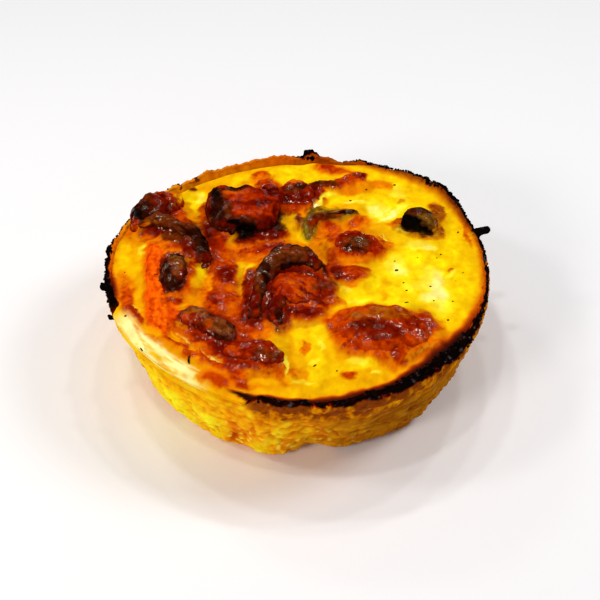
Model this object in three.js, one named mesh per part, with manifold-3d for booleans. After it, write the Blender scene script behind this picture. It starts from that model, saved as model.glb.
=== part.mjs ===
// A small baked quiche, uncut: a shortcrust shell with a charred rim, an egg custard filling,
// and the roasted pieces that stand out of it. Each is one closed solid of its own.
// Millimetres, +Z up. The origin is the centre of the flat base, which lies on z = 0.
import * as THREE from "three";
import Module from "manifold-3d";

const wasm = await Module();
wasm.setup();

// Driving dimensions of the shell
const RIM_RADIUS = 52.5; // outside, at the crest of the rim
const BASE_RADIUS = 42.6; // outside, at the foot of the wall
const RIM_HEIGHT = 29;
const WALL_BULGE = 0.9; // how far the wall swells out between foot and rim
const WALL_THICKNESS = 3.6;
const FLOOR_THICKNESS = 3.5;
const FOOT_ROUNDING = 1.3;
const LEDGE_HEIGHT = 24.4; // the toasted band under the crest starts here
const LEDGE_RISE = 0.8; // it steps out over this much height
const LEDGE_BAND = 4.5; // and has faded again this far up
const LEDGE_DEPTH = 0.7; // how far it stands out of the wall below it
const WALL_RELIEF = 0.55; // bumps of the greasy, laminated wall
const WALL_GRAIN = 5.5; // and their size
const CREST_RELIEF = 0.8; // crags of the charred crest
const CREST_GRAIN = 4; // and their size
const WALL_LEVELS = [3.5, 7, 11, 15, 19, 22.4, LEDGE_HEIGHT, LEDGE_HEIGHT + LEDGE_RISE];

// Driving dimensions of the filling
const CENTRE_LEVEL = 29.2; // top of the custard in the middle, before its swells
const OVERFLOW_DEPTH = 3.2; // how far the lip sinks where the custard runs over it
const OVERFLOW_REACH = 0.5; // how far the custard then stands past the rim radius
const OVERFLOW_MIDDLE = -131; // direction of that stretch, in degrees
const OVERFLOW_HALF = 31; // and half its length, with its ends
const OVERFLOW_EASE = 6;
const OVERFLOW_ROUNDING = 0.9; // fall of the custard's outer edge there
const BRIM_LEVEL = 25.6; // underside of the custard's edge where nothing overflows
const CUSTARD_RELIEF = 0.25;
const CUSTARD_GRAIN = 5;
const PIECE_GRAIN = 3.1; // size of the bumps on a roasted piece
const GAP = 0.3; // clearance between touching solids

// Fineness of the facets
const SHELL_COLUMNS = 96;
const CUSTARD_COLUMNS = 84;
const CUSTARD_RINGS = 13;
const PIECE_SIDES = 12;
const FLAKE_SIDES = 8;
const PIECE_STEPS = 5; // and one more for each station

const DEGREE = Math.PI / 180;

// Width of the charred crest, as [degrees counter-clockwise from +X, millimetres]
const CREST_WIDTHS = [
  [-180, 2.5],
  [-166, 2.8],
  [-150, 2.0],
  [-112, 1.8],
  [-98, 2.2],
  [-85, 3.0],
  [-65, 4.0],
  [-48, 4.8],
  [-32, 3.2],
  [-10, 1.9],
  [15, 1.6],
  [45, 2.1],
  [75, 1.5],
  [110, 1.2],
  [150, 1.4],
  [170, 2.0],
];

// Section through the crest, as [share of its width inwards, millimetres below its top]
const CREST_SECTION = [
  [0, 1.7],
  [0.12, 0.5],
  [0.45, 0],
  [0.85, 0.3],
  [1, 1.2],
];
const CREST_FOOT = 2; // the crest's section ends this far below its top

// How far the custard's edge lies below the crest, as [degrees, millimetres]
const EDGE_DROPS = [
  [-180, 1.1],
  [-160, 0.1],
  [-112, 0.1],
  [-95, 0.5],
  [-40, 0.6],
  [10, 0.9],
  [50, 1.5],
  [85, 2.3],
  [125, 2.4],
  [155, 1.6],
];

// Lobes and hollows of the foot, as [degrees, half-width in degrees, millimetres outward]
const FOOT_LOBES = [
  [-101, 11, 1.8],
  [-86, 10, -2.9],
  [-117, 8, 0.9],
  [-52, 14, 0.9],
  [20, 16, 0.8],
  [95, 20, -0.9],
  [150, 14, 0.7],
  [-158, 12, -0.6],
];

// Bits of char that stand on the crest, as [degrees, half-width in degrees, millimetres up]
const CREST_BITS = [
  [86.5, 3.5, 1.9],
  [76, 7, -1.1],
  [40, 25, 3.0],
  [98, 9, 0.9],
  [176, 5, 1.0],
  [-172, 4, 0.9],
  [-60, 6, 0.5],
  [124, 4, 0.7],
];

// Broad swells of the custard: [x, y, half-length, half-width, turn in degrees, height]
const SWELLS = [
  [-36, 19, 7, 6, 40, 2.6],
  [-36, 6.5, 10, 7, 0, 2.4],
  [-31, -8, 6.5, 10, 8, 2.6],
  [-15.5, 17.5, 15, 13, 0, 1.4],
  [-8.5, 28, 5, 4.5, 0, 1.3],
  [-1, 27.5, 9, 8, 0, 1.6],
  [3, 14.5, 4, 5, 0, -1.4],
  [15, 4, 8, 8, 0, 1.6],
  [14.5, -7.5, 6.5, 5, -8, 1.5],
  [7, -13, 4.5, 4, 0, 1.3],
  [38.7, 17.2, 3.4, 3.4, 0, 1.9],
  [33.5, 16.5, 8, 7, -20, 1.0],
  [-22, 5, 3.2, 4, 0, 1.2],
  [-19, -7.5, 4.2, 5.5, 0, 1.6],
  [-21, -17, 5.5, 5, 0, 1.1],
  [-1.5, -13, 14, 14, 0, 1.6],
  [2, -34, 10, 9, 0, 1.0],
  [20.5, -29.5, 16, 12.5, 0, 2.6],
  [15, -41, 8, 5, 8, 0.9],
  [-23, -28, 11, 8, -38, 1.8],
  [-12, -38.5, 10, 7, -12, 1.6],
];

// Narrow ridges of the custard: { height, halfWidth, path } with the path as [x, y] points
const RIDGES = [
  { height: 2.4, halfWidth: 3.2, path: [[2.5, 31.5], [8, 33.3], [13, 35], [17, 37.8], [19.5, 36]] },
  { height: 1.4, halfWidth: 2.4, path: [[-35, -30], [-28, -36], [-21, -40.5], [-15, -46]] },
  { height: 1.2, halfWidth: 2.0, path: [[-4.2, -38], [-3.6, -43], [-0.5, -46.2], [4, -47]] },
  { height: 1.0, halfWidth: 2.2, path: [[-44, -17], [-40.5, -26]] },
  { height: 1.2, halfWidth: 1.9, path: [[24.5, -34], [27, -40]] },
  { height: 1.6, halfWidth: 1.8, path: [[-13.8, -12], [-14, -19]] },
];

// Stations along a piece: [x, y, z of its middle line, half-width, half-height]
const PIECES = {
  roast_cap: {
    colour: "#3a1408",
    squareness: 2.3,
    bluntness: 2.4,
    relief: 0.55,
    stations: [
      [-45.6, 13.0, 27.4, 4.4, 4.8],
      [-41.8, 22.1, 28.6, 5.5, 6.2],
      [-34.8, 29.8, 27.6, 4.8, 5.2],
    ],
  },
  arched_strip: {
    colour: "#2c1a0e",
    squareness: 2.4,
    bluntness: 4,
    relief: 0.35,
    stations: [
      [-45.0, 13.6, 30.6, 1.5, 1.9],
      [-41.0, 15.4, 31.2, 1.8, 2.2],
      [-37.2, 14.8, 31.3, 1.8, 2.2],
      [-33.4, 11.7, 31.3, 1.8, 2.2],
      [-29.6, 8.6, 31.2, 1.9, 2.3],
      [-26.8, 4.2, 30.9, 1.9, 2.3],
      [-25.5, -0.4, 30.4, 1.8, 2.1],
      [-25.8, -4.2, 29.8, 1.4, 1.7],
    ],
  },
  orange_slab: {
    colour: "#e04a06",
    squareness: 4,
    bluntness: 5,
    relief: 0.15,
    stations: [
      [-40.4, 7.6, 28.4, 2.2, 2.4],
      [-38.5, -9.0, 28.7, 2.3, 2.6],
      [-36.4, -20.0, 28.5, 2.5, 2.5],
      [-34.6, -27.0, 27.8, 2.1, 2.0],
    ],
  },
  dark_nub: {
    colour: "#2a0f06",
    squareness: 2.2,
    bluntness: 2.3,
    relief: 0.4,
    stations: [
      [-33.9, -0.2, 30.2, 3.0, 3.2],
      [-33.4, -6.8, 31.0, 3.5, 3.7],
      [-33.1, -13.4, 29.9, 2.9, 3.1],
    ],
  },
  roast_block: {
    colour: "#9c3a08",
    squareness: 4.5,
    bluntness: 5,
    relief: 0.7,
    scoop: [-15.2, 9.3, 30.6, 3.4, 4.2],
    stations: [
      [-26.0, 17.2, 28.8, 6.6, 4.6],
      [-20.6, 18.9, 31.0, 8.6, 5.6],
      [-12.4, 18.8, 30.9, 8.5, 5.2],
      [-6.3, 17.8, 29.9, 7.4, 4.7],
    ],
  },
  glazed_bead: {
    colour: "#6e0d04",
    squareness: 2,
    bluntness: 2,
    relief: 0.15,
    stations: [
      [-11.8, 28.4, 31.2, 2.6, 3.4],
      [-5.9, 28.4, 31.2, 2.6, 3.4],
    ],
  },
  browned_peak: {
    colour: "#8a3408",
    squareness: 2.1,
    bluntness: 2.2,
    relief: 0.5,
    stations: [
      [-6.6, 27.8, 29.0, 3.8, 3.6],
      [-0.8, 29.2, 29.8, 4.8, 4.6],
      [4.2, 27.6, 29.0, 3.6, 3.2],
    ],
  },
  mushroom_slice: {
    colour: "#4a3210",
    squareness: 2.6,
    bluntness: 4,
    relief: 0.2,
    stations: [
      [2.4, 9.4, 29.3, 1.2, 1.6],
      [2.4, 13.2, 29.8, 1.7, 2.0],
      [3.8, 17.0, 30.2, 1.7, 2.0],
      [7.6, 18.2, 30.5, 1.5, 1.9],
      [12.0, 19.3, 30.7, 1.4, 1.9],
      [16.2, 20.3, 30.6, 1.2, 1.7],
    ],
  },
  olive_cap: {
    colour: "#46200a",
    squareness: 2.1,
    bluntness: 2.1,
    relief: 0.4,
    stations: [
      [9.4, 5.8, 30.2, 4.8, 3.9],
      [20.2, 4.6, 30.0, 4.8, 3.7],
    ],
  },
  curled_strip: {
    colour: "#2b0f08",
    squareness: 2.3,
    bluntness: 4.5,
    relief: 0.45,
    stations: [
      [-11.8, -24.6, 29.8, 1.5, 2.2],
      [-11.3, -19.6, 31.0, 1.8, 2.8],
      [-10.1, -14.2, 32.2, 2.0, 3.2],
      [-8.6, -8.8, 32.9, 2.3, 3.4],
      [-5.7, -5.3, 33.2, 2.6, 3.5],
      [-2.2, -3.5, 33.3, 3.0, 3.5],
      [1.2, -3.6, 33.0, 3.0, 3.4],
      [3.8, -5.6, 32.2, 2.4, 2.9],
      [4.4, -8.4, 31.0, 1.5, 2.1],
    ],
  },
  curl_flesh: {
    colour: "#b84a0a",
    squareness: 2.3,
    bluntness: 2.6,
    relief: 0.5,
    stations: [
      [-9.6, -14.4, 29.8, 5.6, 3.2],
      [-2.0, -14.0, 30.3, 6.8, 3.6],
      [6.6, -15.4, 29.6, 4.6, 2.8],
    ],
  },
  inner_strip: {
    colour: "#3c0c06",
    squareness: 2.4,
    bluntness: 3,
    relief: 0.25,
    stations: [
      [-4.8, -18.4, 32.4, 1.5, 1.8],
      [-5.9, -22.4, 31.4, 1.9, 2.1],
      [-5.2, -28.2, 29.8, 1.7, 1.9],
    ],
  },
  red_bar: {
    colour: "#8c1206",
    squareness: 2.4,
    bluntness: 3,
    relief: 0.15,
    stations: [
      [-3.2, -22.2, 30.5, 1.1, 1.5],
      [1.0, -22.6, 30.7, 1.3, 1.7],
      [5.6, -22.2, 30.3, 1.2, 1.5],
    ],
  },
  glazed_chunk_left: {
    colour: "#4c2a10",
    squareness: 2.3,
    bluntness: 2.6,
    relief: 0.4,
    stations: [
      [-30.6, -22.4, 29.4, 3.2, 3.2],
      [-24.0, -26.6, 30.4, 3.5, 3.6],
      [-15.8, -32.4, 29.5, 3.3, 3.4],
    ],
  },
  glazed_chunk_mid: {
    colour: "#45180c",
    squareness: 2.3,
    bluntness: 2.8,
    relief: 0.4,
    stations: [
      [-19.6, -34.4, 28.6, 2.6, 2.4],
      [-14.0, -36.6, 29.6, 3.2, 3.0],
      [-8.6, -37.6, 30.0, 3.5, 3.5],
      [-4.0, -38.8, 29.4, 3.1, 3.0],
    ],
  },
  browned_lump: {
    colour: "#5e220c",
    squareness: 2.3,
    bluntness: 2.4,
    relief: 0.6,
    stations: [
      [8.8, -27.8, 28.8, 7.0, 4.2],
      [20.5, -28.4, 29.3, 8.7, 4.8],
      [32.4, -29.4, 28.6, 7.0, 4.2],
    ],
  },
  mushroom_chunk: {
    colour: "#2a1a0a",
    squareness: 3.6,
    bluntness: 4,
    relief: 0.3,
    stations: [
      [28.6, 16.4, 30.2, 3.4, 3.4],
      [33.4, 15.2, 30.5, 3.9, 3.8],
      [38.0, 13.0, 29.8, 3.2, 3.2],
    ],
  },
};

// A thin curled flake of char that stands out of the rim: [degrees, radius, z, length, width, thickness]
const RIM_FLAKES = [
  [15.5, 52.6, 28.9, 5.4, 3.2, 1.1],
  [-170.5, 52.2, 27.8, 3.2, 3.0, 1.2],
  [174.5, 52.3, 28.8, 2.2, 3.4, 1.2],
  [137.5, 51.4, 28.4, 2.6, 1.6, 0.8],
  [87, 52.2, 29.2, 2.6, 3.6, 1.6],
];

function clamp01(value) {
  return Math.min(1, Math.max(0, value));
}

function smooth01(value) {
  const u = clamp01(value);
  return u * u * (3 - 2 * u);
}

function mix(a, b, share) {
  return a + (b - a) * share;
}

// Repeatable number from 0 to 1 for one point of a lattice
function lattice(i, j, k) {
  const n = Math.sin(i * 127.1 + j * 311.7 + k * 74.7) * 43758.5453;
  return n - Math.floor(n);
}

// Smooth noise from -1 to 1, with features about one unit across
function noise(x, y, z) {
  const [i, j, k] = [Math.floor(x), Math.floor(y), Math.floor(z)];
  const [u, v, w] = [smooth01(x - i), smooth01(y - j), smooth01(z - k)];
  const edge = (b, c) => mix(lattice(i, j + b, k + c), lattice(i + 1, j + b, k + c), u);
  return mix(mix(edge(0, 0), edge(1, 0), v), mix(edge(0, 1), edge(1, 1), v), w) * 2 - 1;
}

// Signed difference between two directions, in degrees from -180 to 180
function turnBetween(from, to) {
  return ((((to - from + 180) % 360) + 360) % 360) - 180;
}

// 1 at a direction, easing to 0 at halfWidth degrees from it
function nearDirection(degrees, centre, halfWidth) {
  return smooth01(1 - Math.abs(turnBetween(degrees, centre)) / halfWidth);
}

// Value between the stations of a table that goes once round the shell
function roundTable(table, degrees) {
  for (let i = 0; i < table.length; i += 1) {
    const [start, value] = table[i];
    const [end, next] = table[(i + 1) % table.length];
    const span = (end - start + 360) % 360;
    const step = (degrees - start + 720) % 360;
    if (step <= span) return mix(value, next, smooth01(step / span));
  }
  return table[0][1];
}

// 1 along the stretch of lip that the custard has run over, easing to 0 at its ends
function lipSink(degrees) {
  const away = Math.abs(turnBetween(degrees, OVERFLOW_MIDDLE));
  return smooth01((OVERFLOW_HALF - away) / OVERFLOW_EASE);
}

// The custard spreads outwards only where the lip beneath it is already sunk
function custardSpread(degrees) {
  const away = Math.abs(turnBetween(degrees, OVERFLOW_MIDDLE));
  return smooth01((OVERFLOW_HALF - OVERFLOW_EASE - away) / OVERFLOW_EASE);
}

// The rim isn't quite round: a shallow hand-pressed wave runs along it
function rimRadius(degrees) {
  const t = degrees * DEGREE;
  const twofold = -0.008 * Math.cos(2 * t) - 0.002 * Math.sin(2 * t);
  const threefold = -0.02 * Math.cos(3 * t) + 0.008 * Math.sin(3 * t);
  return RIM_RADIUS * (1 + twofold + threefold);
}

function footRadius(degrees) {
  const t = degrees * DEGREE;
  let radius = BASE_RADIUS * (1 + 0.004 * Math.cos(2 * t) + 0.011 * Math.sin(2 * t));
  for (const [centre, halfWidth, outward] of FOOT_LOBES) {
    radius += outward * nearDirection(degrees, centre, halfWidth);
  }
  return radius;
}

function crestHeight(degrees) {
  const t = degrees * DEGREE;
  const grains = RIM_RADIUS / CREST_GRAIN;
  const crags = CREST_RELIEF * noise(Math.cos(t) * grains, Math.sin(t) * grains, 0.5);
  let height = RIM_HEIGHT + crags * (1 - lipSink(degrees)) - OVERFLOW_DEPTH * lipSink(degrees);
  for (const [centre, halfWidth, up] of CREST_BITS) {
    height += up * nearDirection(degrees, centre, halfWidth);
  }
  return height;
}

// Outside of the wall at a height: it leans out, swells a little, and ripples
function wallRadius(degrees, z) {
  const t = degrees * DEGREE;
  const share = clamp01(z / RIM_HEIGHT);
  const lean = mix(footRadius(degrees), rimRadius(degrees), share);
  const bulge = WALL_BULGE * Math.sin(Math.PI * share);
  const grains = RIM_RADIUS / WALL_GRAIN;
  const grain = noise(Math.cos(t) * grains, Math.sin(t) * grains, z / WALL_GRAIN);
  const ripple = WALL_RELIEF * grain * Math.sin(Math.PI * share);
  const above = z - LEDGE_HEIGHT;
  const ledge = smooth01(above / LEDGE_RISE) * (1 - smooth01((2 * above) / LEDGE_BAND - 1));
  return lean + bulge + ripple + LEDGE_DEPTH * (ledge - share / 2);
}

// Inside of the wall: straight up from the floor to the inner edge of the crest
function innerRadius(degrees, z) {
  const crestEdge = rimRadius(degrees) - roundTable(CREST_WIDTHS, degrees);
  return mix(BASE_RADIUS - WALL_THICKNESS, crestEdge, clamp01(z / RIM_HEIGHT));
}

// Closed mesh from rings of equal length between two end points, faces pointing out
function closedFromRings(firstPole, rings, lastPole) {
  const columns = rings[0].length;
  const positions = [firstPole, ...rings.flat(), lastPole].flat();
  const last = rings.length * columns + 1;
  const faces = [];
  for (let c = 0; c < columns; c += 1) {
    const d = (c + 1) % columns;
    faces.push(0, 1 + d, 1 + c);
    for (let r = 0; r + 1 < rings.length; r += 1) {
      const lower = 1 + r * columns;
      const upper = lower + columns;
      faces.push(lower + c, lower + d, upper + d);
      faces.push(lower + c, upper + d, upper + c);
    }
    const top = last - columns;
    faces.push(top + c, top + d, last);
  }
  if (signedVolume(positions, faces) < 0) {
    for (let f = 0; f < faces.length; f += 3) [faces[f], faces[f + 1]] = [faces[f + 1], faces[f]];
  }
  return solidOf(new Float32Array(positions), new Uint32Array(faces));
}

function signedVolume(positions, faces) {
  const corner = (i) => new THREE.Vector3().fromArray(positions, faces[i] * 3);
  let sum = 0;
  for (let f = 0; f < faces.length; f += 3) sum += corner(f).dot(corner(f + 1).cross(corner(f + 2)));
  return sum / 6;
}

function solidOf(vertProperties, triVerts) {
  return new wasm.Manifold(new wasm.Mesh({ numProp: 3, vertProperties, triVerts }));
}

function polar(degrees, radius, z) {
  return [radius * Math.cos(degrees * DEGREE), radius * Math.sin(degrees * DEGREE), z];
}

function directions(columns) {
  return Array.from({ length: columns }, (_, c) => -180 + (360 * c) / columns);
}

// The pastry shell: flat base, leaning wall, crest of uneven width and height, hollow inside
function shell() {
  const around = directions(SHELL_COLUMNS);
  const ring = (at) => around.map((degrees) => at(degrees));
  const wallRing = (z) => ring((a) => polar(a, wallRadius(a, z), z));
  const crestRing = ([share, drop]) =>
    ring((a) => {
      const width = roundTable(CREST_WIDTHS, a);
      return polar(a, rimRadius(a) - width * share, crestHeight(a) - drop);
    });
  const inner = (a, z) => polar(a, innerRadius(a, z), z);
  const rings = [
    ring((a) => polar(a, footRadius(a) - FOOT_ROUNDING, 0)),
    ring((a) => polar(a, footRadius(a) - FOOT_ROUNDING / 6, FOOT_ROUNDING * 0.7)),
    ...WALL_LEVELS.map(wallRing),
    ...CREST_SECTION.map(crestRing),
    ring((a) => inner(a, Math.min(BRIM_LEVEL, crestHeight(a) - CREST_FOOT))),
    ring((a) => inner(a, FLOOR_THICKNESS)),
  ];
  return closedFromRings([0, 0, 0], rings, [0, 0, FLOOR_THICKNESS]);
}

// A flake of char: a thin curled chip with one end sunk in the rim
function rimFlake([degrees, radius, z, length, width, thickness]) {
  const stations = [-0.5, 0, 0.5].map((share) => {
    const [x, y] = polar(degrees, radius + share * length, 0);
    return [x, y, z + share * thickness, width / 2, thickness / 2];
  });
  return loft({ stations, squareness: 3, bluntness: 4, relief: 0.25 }, 0, FLAKE_SIDES);
}

function swellHeight([cx, cy, halfLength, halfWidth, turn, height], x, y) {
  const [c, s] = [Math.cos(turn * DEGREE), Math.sin(turn * DEGREE)];
  const along = ((x - cx) * c + (y - cy) * s) / halfLength;
  const across = ((y - cy) * c - (x - cx) * s) / halfWidth;
  const near = clamp01(1 - along * along - across * across);
  return height * near * near * (3 - 2 * near);
}

function ridgeHeight({ height, halfWidth, path }, x, y) {
  let nearest = Infinity;
  for (let i = 0; i + 1 < path.length; i += 1) {
    const [ax, ay] = path[i];
    const [bx, by] = [path[i + 1][0] - ax, path[i + 1][1] - ay];
    const share = clamp01(((x - ax) * bx + (y - ay) * by) / (bx * bx + by * by));
    nearest = Math.min(nearest, Math.hypot(x - ax - bx * share, y - ay - by * share));
  }
  return height * smooth01(1 - nearest / halfWidth);
}

// Top of the custard: lower at the edge, swollen by steam and by what is sunk in it
function custardTop(x, y) {
  const degrees = Math.atan2(y, x) / DEGREE;
  const share = clamp01(Math.hypot(x, y) / rimRadius(degrees));
  const edge = RIM_HEIGHT - roundTable(EDGE_DROPS, degrees);
  const inward = 1 - share ** 6;
  let top = mix(edge, CENTRE_LEVEL, 1 - share * share);
  top += CUSTARD_RELIEF * noise(x / CUSTARD_GRAIN, y / CUSTARD_GRAIN, 3);
  for (const swell of SWELLS) top += inward * swellHeight(swell, x, y);
  for (const ridge of RIDGES) top += inward * ridgeHeight(ridge, x, y);
  return top;
}

// The custard: fills the shell up to its own uneven top, and hangs over the sunk stretch of lip
function filling() {
  const around = directions(CUSTARD_COLUMNS);
  const inside = (a, z) => innerRadius(a, z) - GAP;
  const level = (a) => RIM_HEIGHT - roundTable(EDGE_DROPS, a);
  const lip = (a) => mix(inside(a, level(a)), rimRadius(a) + OVERFLOW_REACH, custardSpread(a));
  const brim = (a) => Math.max(BRIM_LEVEL, lipSink(a) * (RIM_HEIGHT - OVERFLOW_DEPTH + 1.5 * GAP));
  const underside = (a) => Math.max(inside(a, brim(a)), lip(a) - OVERFLOW_ROUNDING);
  const rings = [
    around.map((a) => polar(a, inside(a, FLOOR_THICKNESS), FLOOR_THICKNESS + GAP)),
    around.map((a) => polar(a, inside(a, brim(a) - GAP), brim(a) - GAP)),
    around.map((a) => polar(a, mix(inside(a, brim(a)), underside(a), custardSpread(a)), brim(a))),
  ];
  for (let r = CUSTARD_RINGS; r > 0; r -= 1) {
    const share = r / CUSTARD_RINGS;
    rings.push(
      around.map((a) => {
        const [x, y] = polar(a, lip(a) * share, 0);
        const rounding = r === CUSTARD_RINGS ? OVERFLOW_ROUNDING * custardSpread(a) : 0;
        return [x, y, custardTop(x, y) - rounding];
      })
    );
  }
  return closedFromRings([0, 0, FLOOR_THICKNESS + GAP], rings, [0, 0, custardTop(0, 0)]);
}

// A rounded piece along a smooth line: superelliptic sections that close at both ends
function loft({ stations, squareness, bluntness, relief }, grow = 0, sides = PIECE_SIDES) {
  const steps = PIECE_STEPS + stations.length;
  const line = new THREE.CatmullRomCurve3(stations.map(([x, y, z]) => new THREE.Vector3(x, y, z)));
  const size = new THREE.CatmullRomCurve3(stations.map(([, , , w, h]) => new THREE.Vector3(w, h, 0)));
  const rings = [];
  for (let step = 1; step < steps; step += 1) {
    const along = -Math.cos((Math.PI * step) / steps);
    const u = (along + 1) / 2;
    const close = (1 - Math.abs(along) ** bluntness) ** (1 / bluntness);
    const ahead = line.getTangent(u);
    const middle = line.getPoint(u).addScaledVector(ahead, along * grow);
    const across = new THREE.Vector3(-ahead.y, ahead.x, 0).normalize();
    const { x: halfWidth, y: halfHeight } = size.getPoint(u);
    rings.push(
      Array.from({ length: sides }, (_, side) => {
        const turn = (2 * Math.PI * side) / sides;
        const round = (value) => Math.sign(value) * Math.abs(value) ** (2 / squareness);
        const [a, b] = [round(Math.cos(turn)), round(Math.sin(turn))];
        const point = middle.clone().addScaledVector(across, a * close * (halfWidth + grow));
        point.z += b * close * (halfHeight + grow);
        const { x, y, z } = point.clone().divideScalar(PIECE_GRAIN);
        const lift = relief * close * noise(x, y, z);
        point.addScaledVector(across, a * lift);
        point.z += b * lift;
        return point.toArray();
      })
    );
  }
  const end = (u, sign) => {
    const outward = line.getTangent(u).multiplyScalar(sign * grow);
    return line.getPoint(u).add(outward).toArray();
  };
  return closedFromRings(end(0, -1), rings, end(1, 1));
}

// The black hollow under the lip of the roasted block
function scoopOut([x, y, z, radius, depth]) {
  const stations = [
    [x, y - depth, z, radius, radius],
    [x, y + depth, z, radius, radius],
  ];
  return loft({ stations, squareness: 2, bluntness: 2, relief: 0 });
}

// Largest single body of a cut solid, so that no loose scrap is left beside it
function largestBody(solid) {
  const bodies = solid.decompose();
  return bodies.reduce((best, body) => (body.volume() > best.volume() ? body : best));
}

function piecesInOrder() {
  const done = [];
  for (const [name, shape] of Object.entries(PIECES)) {
    let body = loft(shape);
    const room = loft(shape, GAP);
    if (shape.scoop) body = body.subtract(scoopOut(shape.scoop));
    for (const earlier of done) body = body.subtract(earlier.room);
    done.push({ name, colour: shape.colour, body: largestBody(body), room });
  }
  return done;
}

function meshOf(name, solid, colour, roughness) {
  const { vertProperties, triVerts } = solid.getMesh();
  const geometry = new THREE.BufferGeometry();
  geometry.setAttribute("position", new THREE.BufferAttribute(vertProperties, 3));
  geometry.setIndex(new THREE.BufferAttribute(triVerts, 1));
  geometry.computeVertexNormals();
  const material = new THREE.MeshStandardMaterial({ color: colour, roughness, metalness: 0 });
  const mesh = new THREE.Mesh(geometry, material);
  mesh.name = name;
  return mesh;
}

function quiche() {
  const pieces = piecesInOrder();
  let crust = shell();
  for (const flake of RIM_FLAKES) crust = crust.add(rimFlake(flake));
  let custard = filling();
  for (const { room } of pieces) {
    crust = crust.subtract(room);
    custard = custard.subtract(room);
  }
  const group = new THREE.Group();
  group.add(meshOf("crust", largestBody(crust), "#d99a1e", 0.6));
  group.add(meshOf("custard", largestBody(custard), "#f5c51c", 0.4));
  for (const { name, body, colour } of pieces) group.add(meshOf(name, body, colour, 0.35));
  return group;
}

export default quiche();
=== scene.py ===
"""A small baked quiche with a charred rim, dressed for a studio shot.

Shapes are worked out in millimetres and turned into metres where a mesh is made. The frame is the
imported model's: +Z up, origin at the centre of the flat base. Sizes and tables come first. After
them come noise, the plan of the shell, meshes, materials and colours, and then what builds the
custard, the pastry, the pieces, the crumbs and the studio.
"""
import math

import bpy
import numpy as np
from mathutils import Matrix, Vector


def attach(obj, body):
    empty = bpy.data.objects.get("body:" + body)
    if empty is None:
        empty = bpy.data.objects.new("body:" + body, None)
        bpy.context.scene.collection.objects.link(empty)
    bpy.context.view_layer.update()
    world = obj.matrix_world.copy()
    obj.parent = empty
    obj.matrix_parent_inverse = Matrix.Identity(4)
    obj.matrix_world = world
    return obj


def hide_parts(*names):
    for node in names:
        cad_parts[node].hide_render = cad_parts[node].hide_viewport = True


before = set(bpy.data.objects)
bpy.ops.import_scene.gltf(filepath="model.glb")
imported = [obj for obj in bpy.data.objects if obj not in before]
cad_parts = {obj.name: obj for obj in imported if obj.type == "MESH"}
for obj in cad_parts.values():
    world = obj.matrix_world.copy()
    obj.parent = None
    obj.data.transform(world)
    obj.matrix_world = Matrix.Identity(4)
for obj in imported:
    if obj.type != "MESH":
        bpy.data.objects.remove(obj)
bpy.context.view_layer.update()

MM = 0.001
DEGREE = math.pi / 180

# Driving dimensions of the shell and filling, in millimetres
RIM_RADIUS = 52.5
BASE_RADIUS = 42.6
RIM_HEIGHT = 29.0
WALL_BULGE = 0.9
WALL_THICKNESS = 3.6
FLOOR_THICKNESS = 3.5
FOOT_ROUNDING = 1.3
LEDGE_HEIGHT = 24.4
LEDGE_RISE = 0.8
LEDGE_BAND = 4.5
LEDGE_DEPTH = 0.7
WALL_RELIEF = 0.55
WALL_GRAIN = 5.5
CREST_RELIEF = 0.8
CREST_GRAIN = 4.0
CENTRE_LEVEL = 29.2
OVERFLOW_DEPTH = 3.2
OVERFLOW_REACH = 0.5
OVERFLOW_ROUNDING = 0.9
OVERFLOW_MIDDLE = -131.0
OVERFLOW_HALF = 31.0
OVERFLOW_EASE = 6.0
BRIM_LEVEL = 25.6
CUSTARD_RELIEF = 0.25
CUSTARD_GRAIN = 5.0
PIECE_GRAIN = 3.1
GAP = 0.3
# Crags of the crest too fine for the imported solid
FINE_CRAGS = 0.75
# How far the custard clings round a piece, and how high it may climb
SKIRT_REACH = 3.2
SKIRT_RISE = 2.2
# Where the custard's edge is drawn up to the crest: over which width, how far below the crest's top
# it ends, and which share of the crest's width it covers
CLING_REACH = 5.0
CLING_DROP = 0.15
CLING_COVER = 0.3

# Fineness of the meshes
SHELL_COLUMNS = 900
FOOT_STEPS = 3
WALL_RINGS = 56
CREST_RINGS = 30
INNER_RINGS = 6
CUSTARD_CELLS = 280
EDGE_STEPS = 6
PIECE_SIDES = 96
PIECE_STEPS = 96
# Circles that stand for a piece when its outline is looked for from above
FOOTPRINT_CIRCLES = 28

# Tables that go once round the shell: degrees counter-clockwise from +X, and the value there.
# Width of the crest, and how far below the rim the custard starts, in millimetres
CREST_WIDTHS = [
    (-180, 2.5), (-166, 2.8), (-150, 2.0), (-112, 1.8), (-98, 2.2), (-85, 3.0), (-65, 4.0),
    (-48, 4.8), (-32, 3.2), (-10, 1.9), (15, 1.6), (45, 2.1), (75, 1.5), (110, 1.2), (150, 1.4),
    (170, 2.0),
]
EDGE_DROPS = [
    (-180, 1.1), (-160, 0.1), (-112, 0.1), (-95, 0.5), (-40, 0.6), (10, 0.9), (50, 1.5),
    (85, 2.3), (125, 2.4), (155, 1.6),
]
# How closely the custard's edge clings over the inner shoulder of the crest
EDGE_CLING = [
    (-180, 0.7), (-165, 0.9), (-157, 0.3), (-105, 0.3), (-96, 1), (-60, 1), (20, 1), (60, 1),
    (76, 0.3), (90, 0.1), (140, 0.1), (165, 0.5),
]
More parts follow.
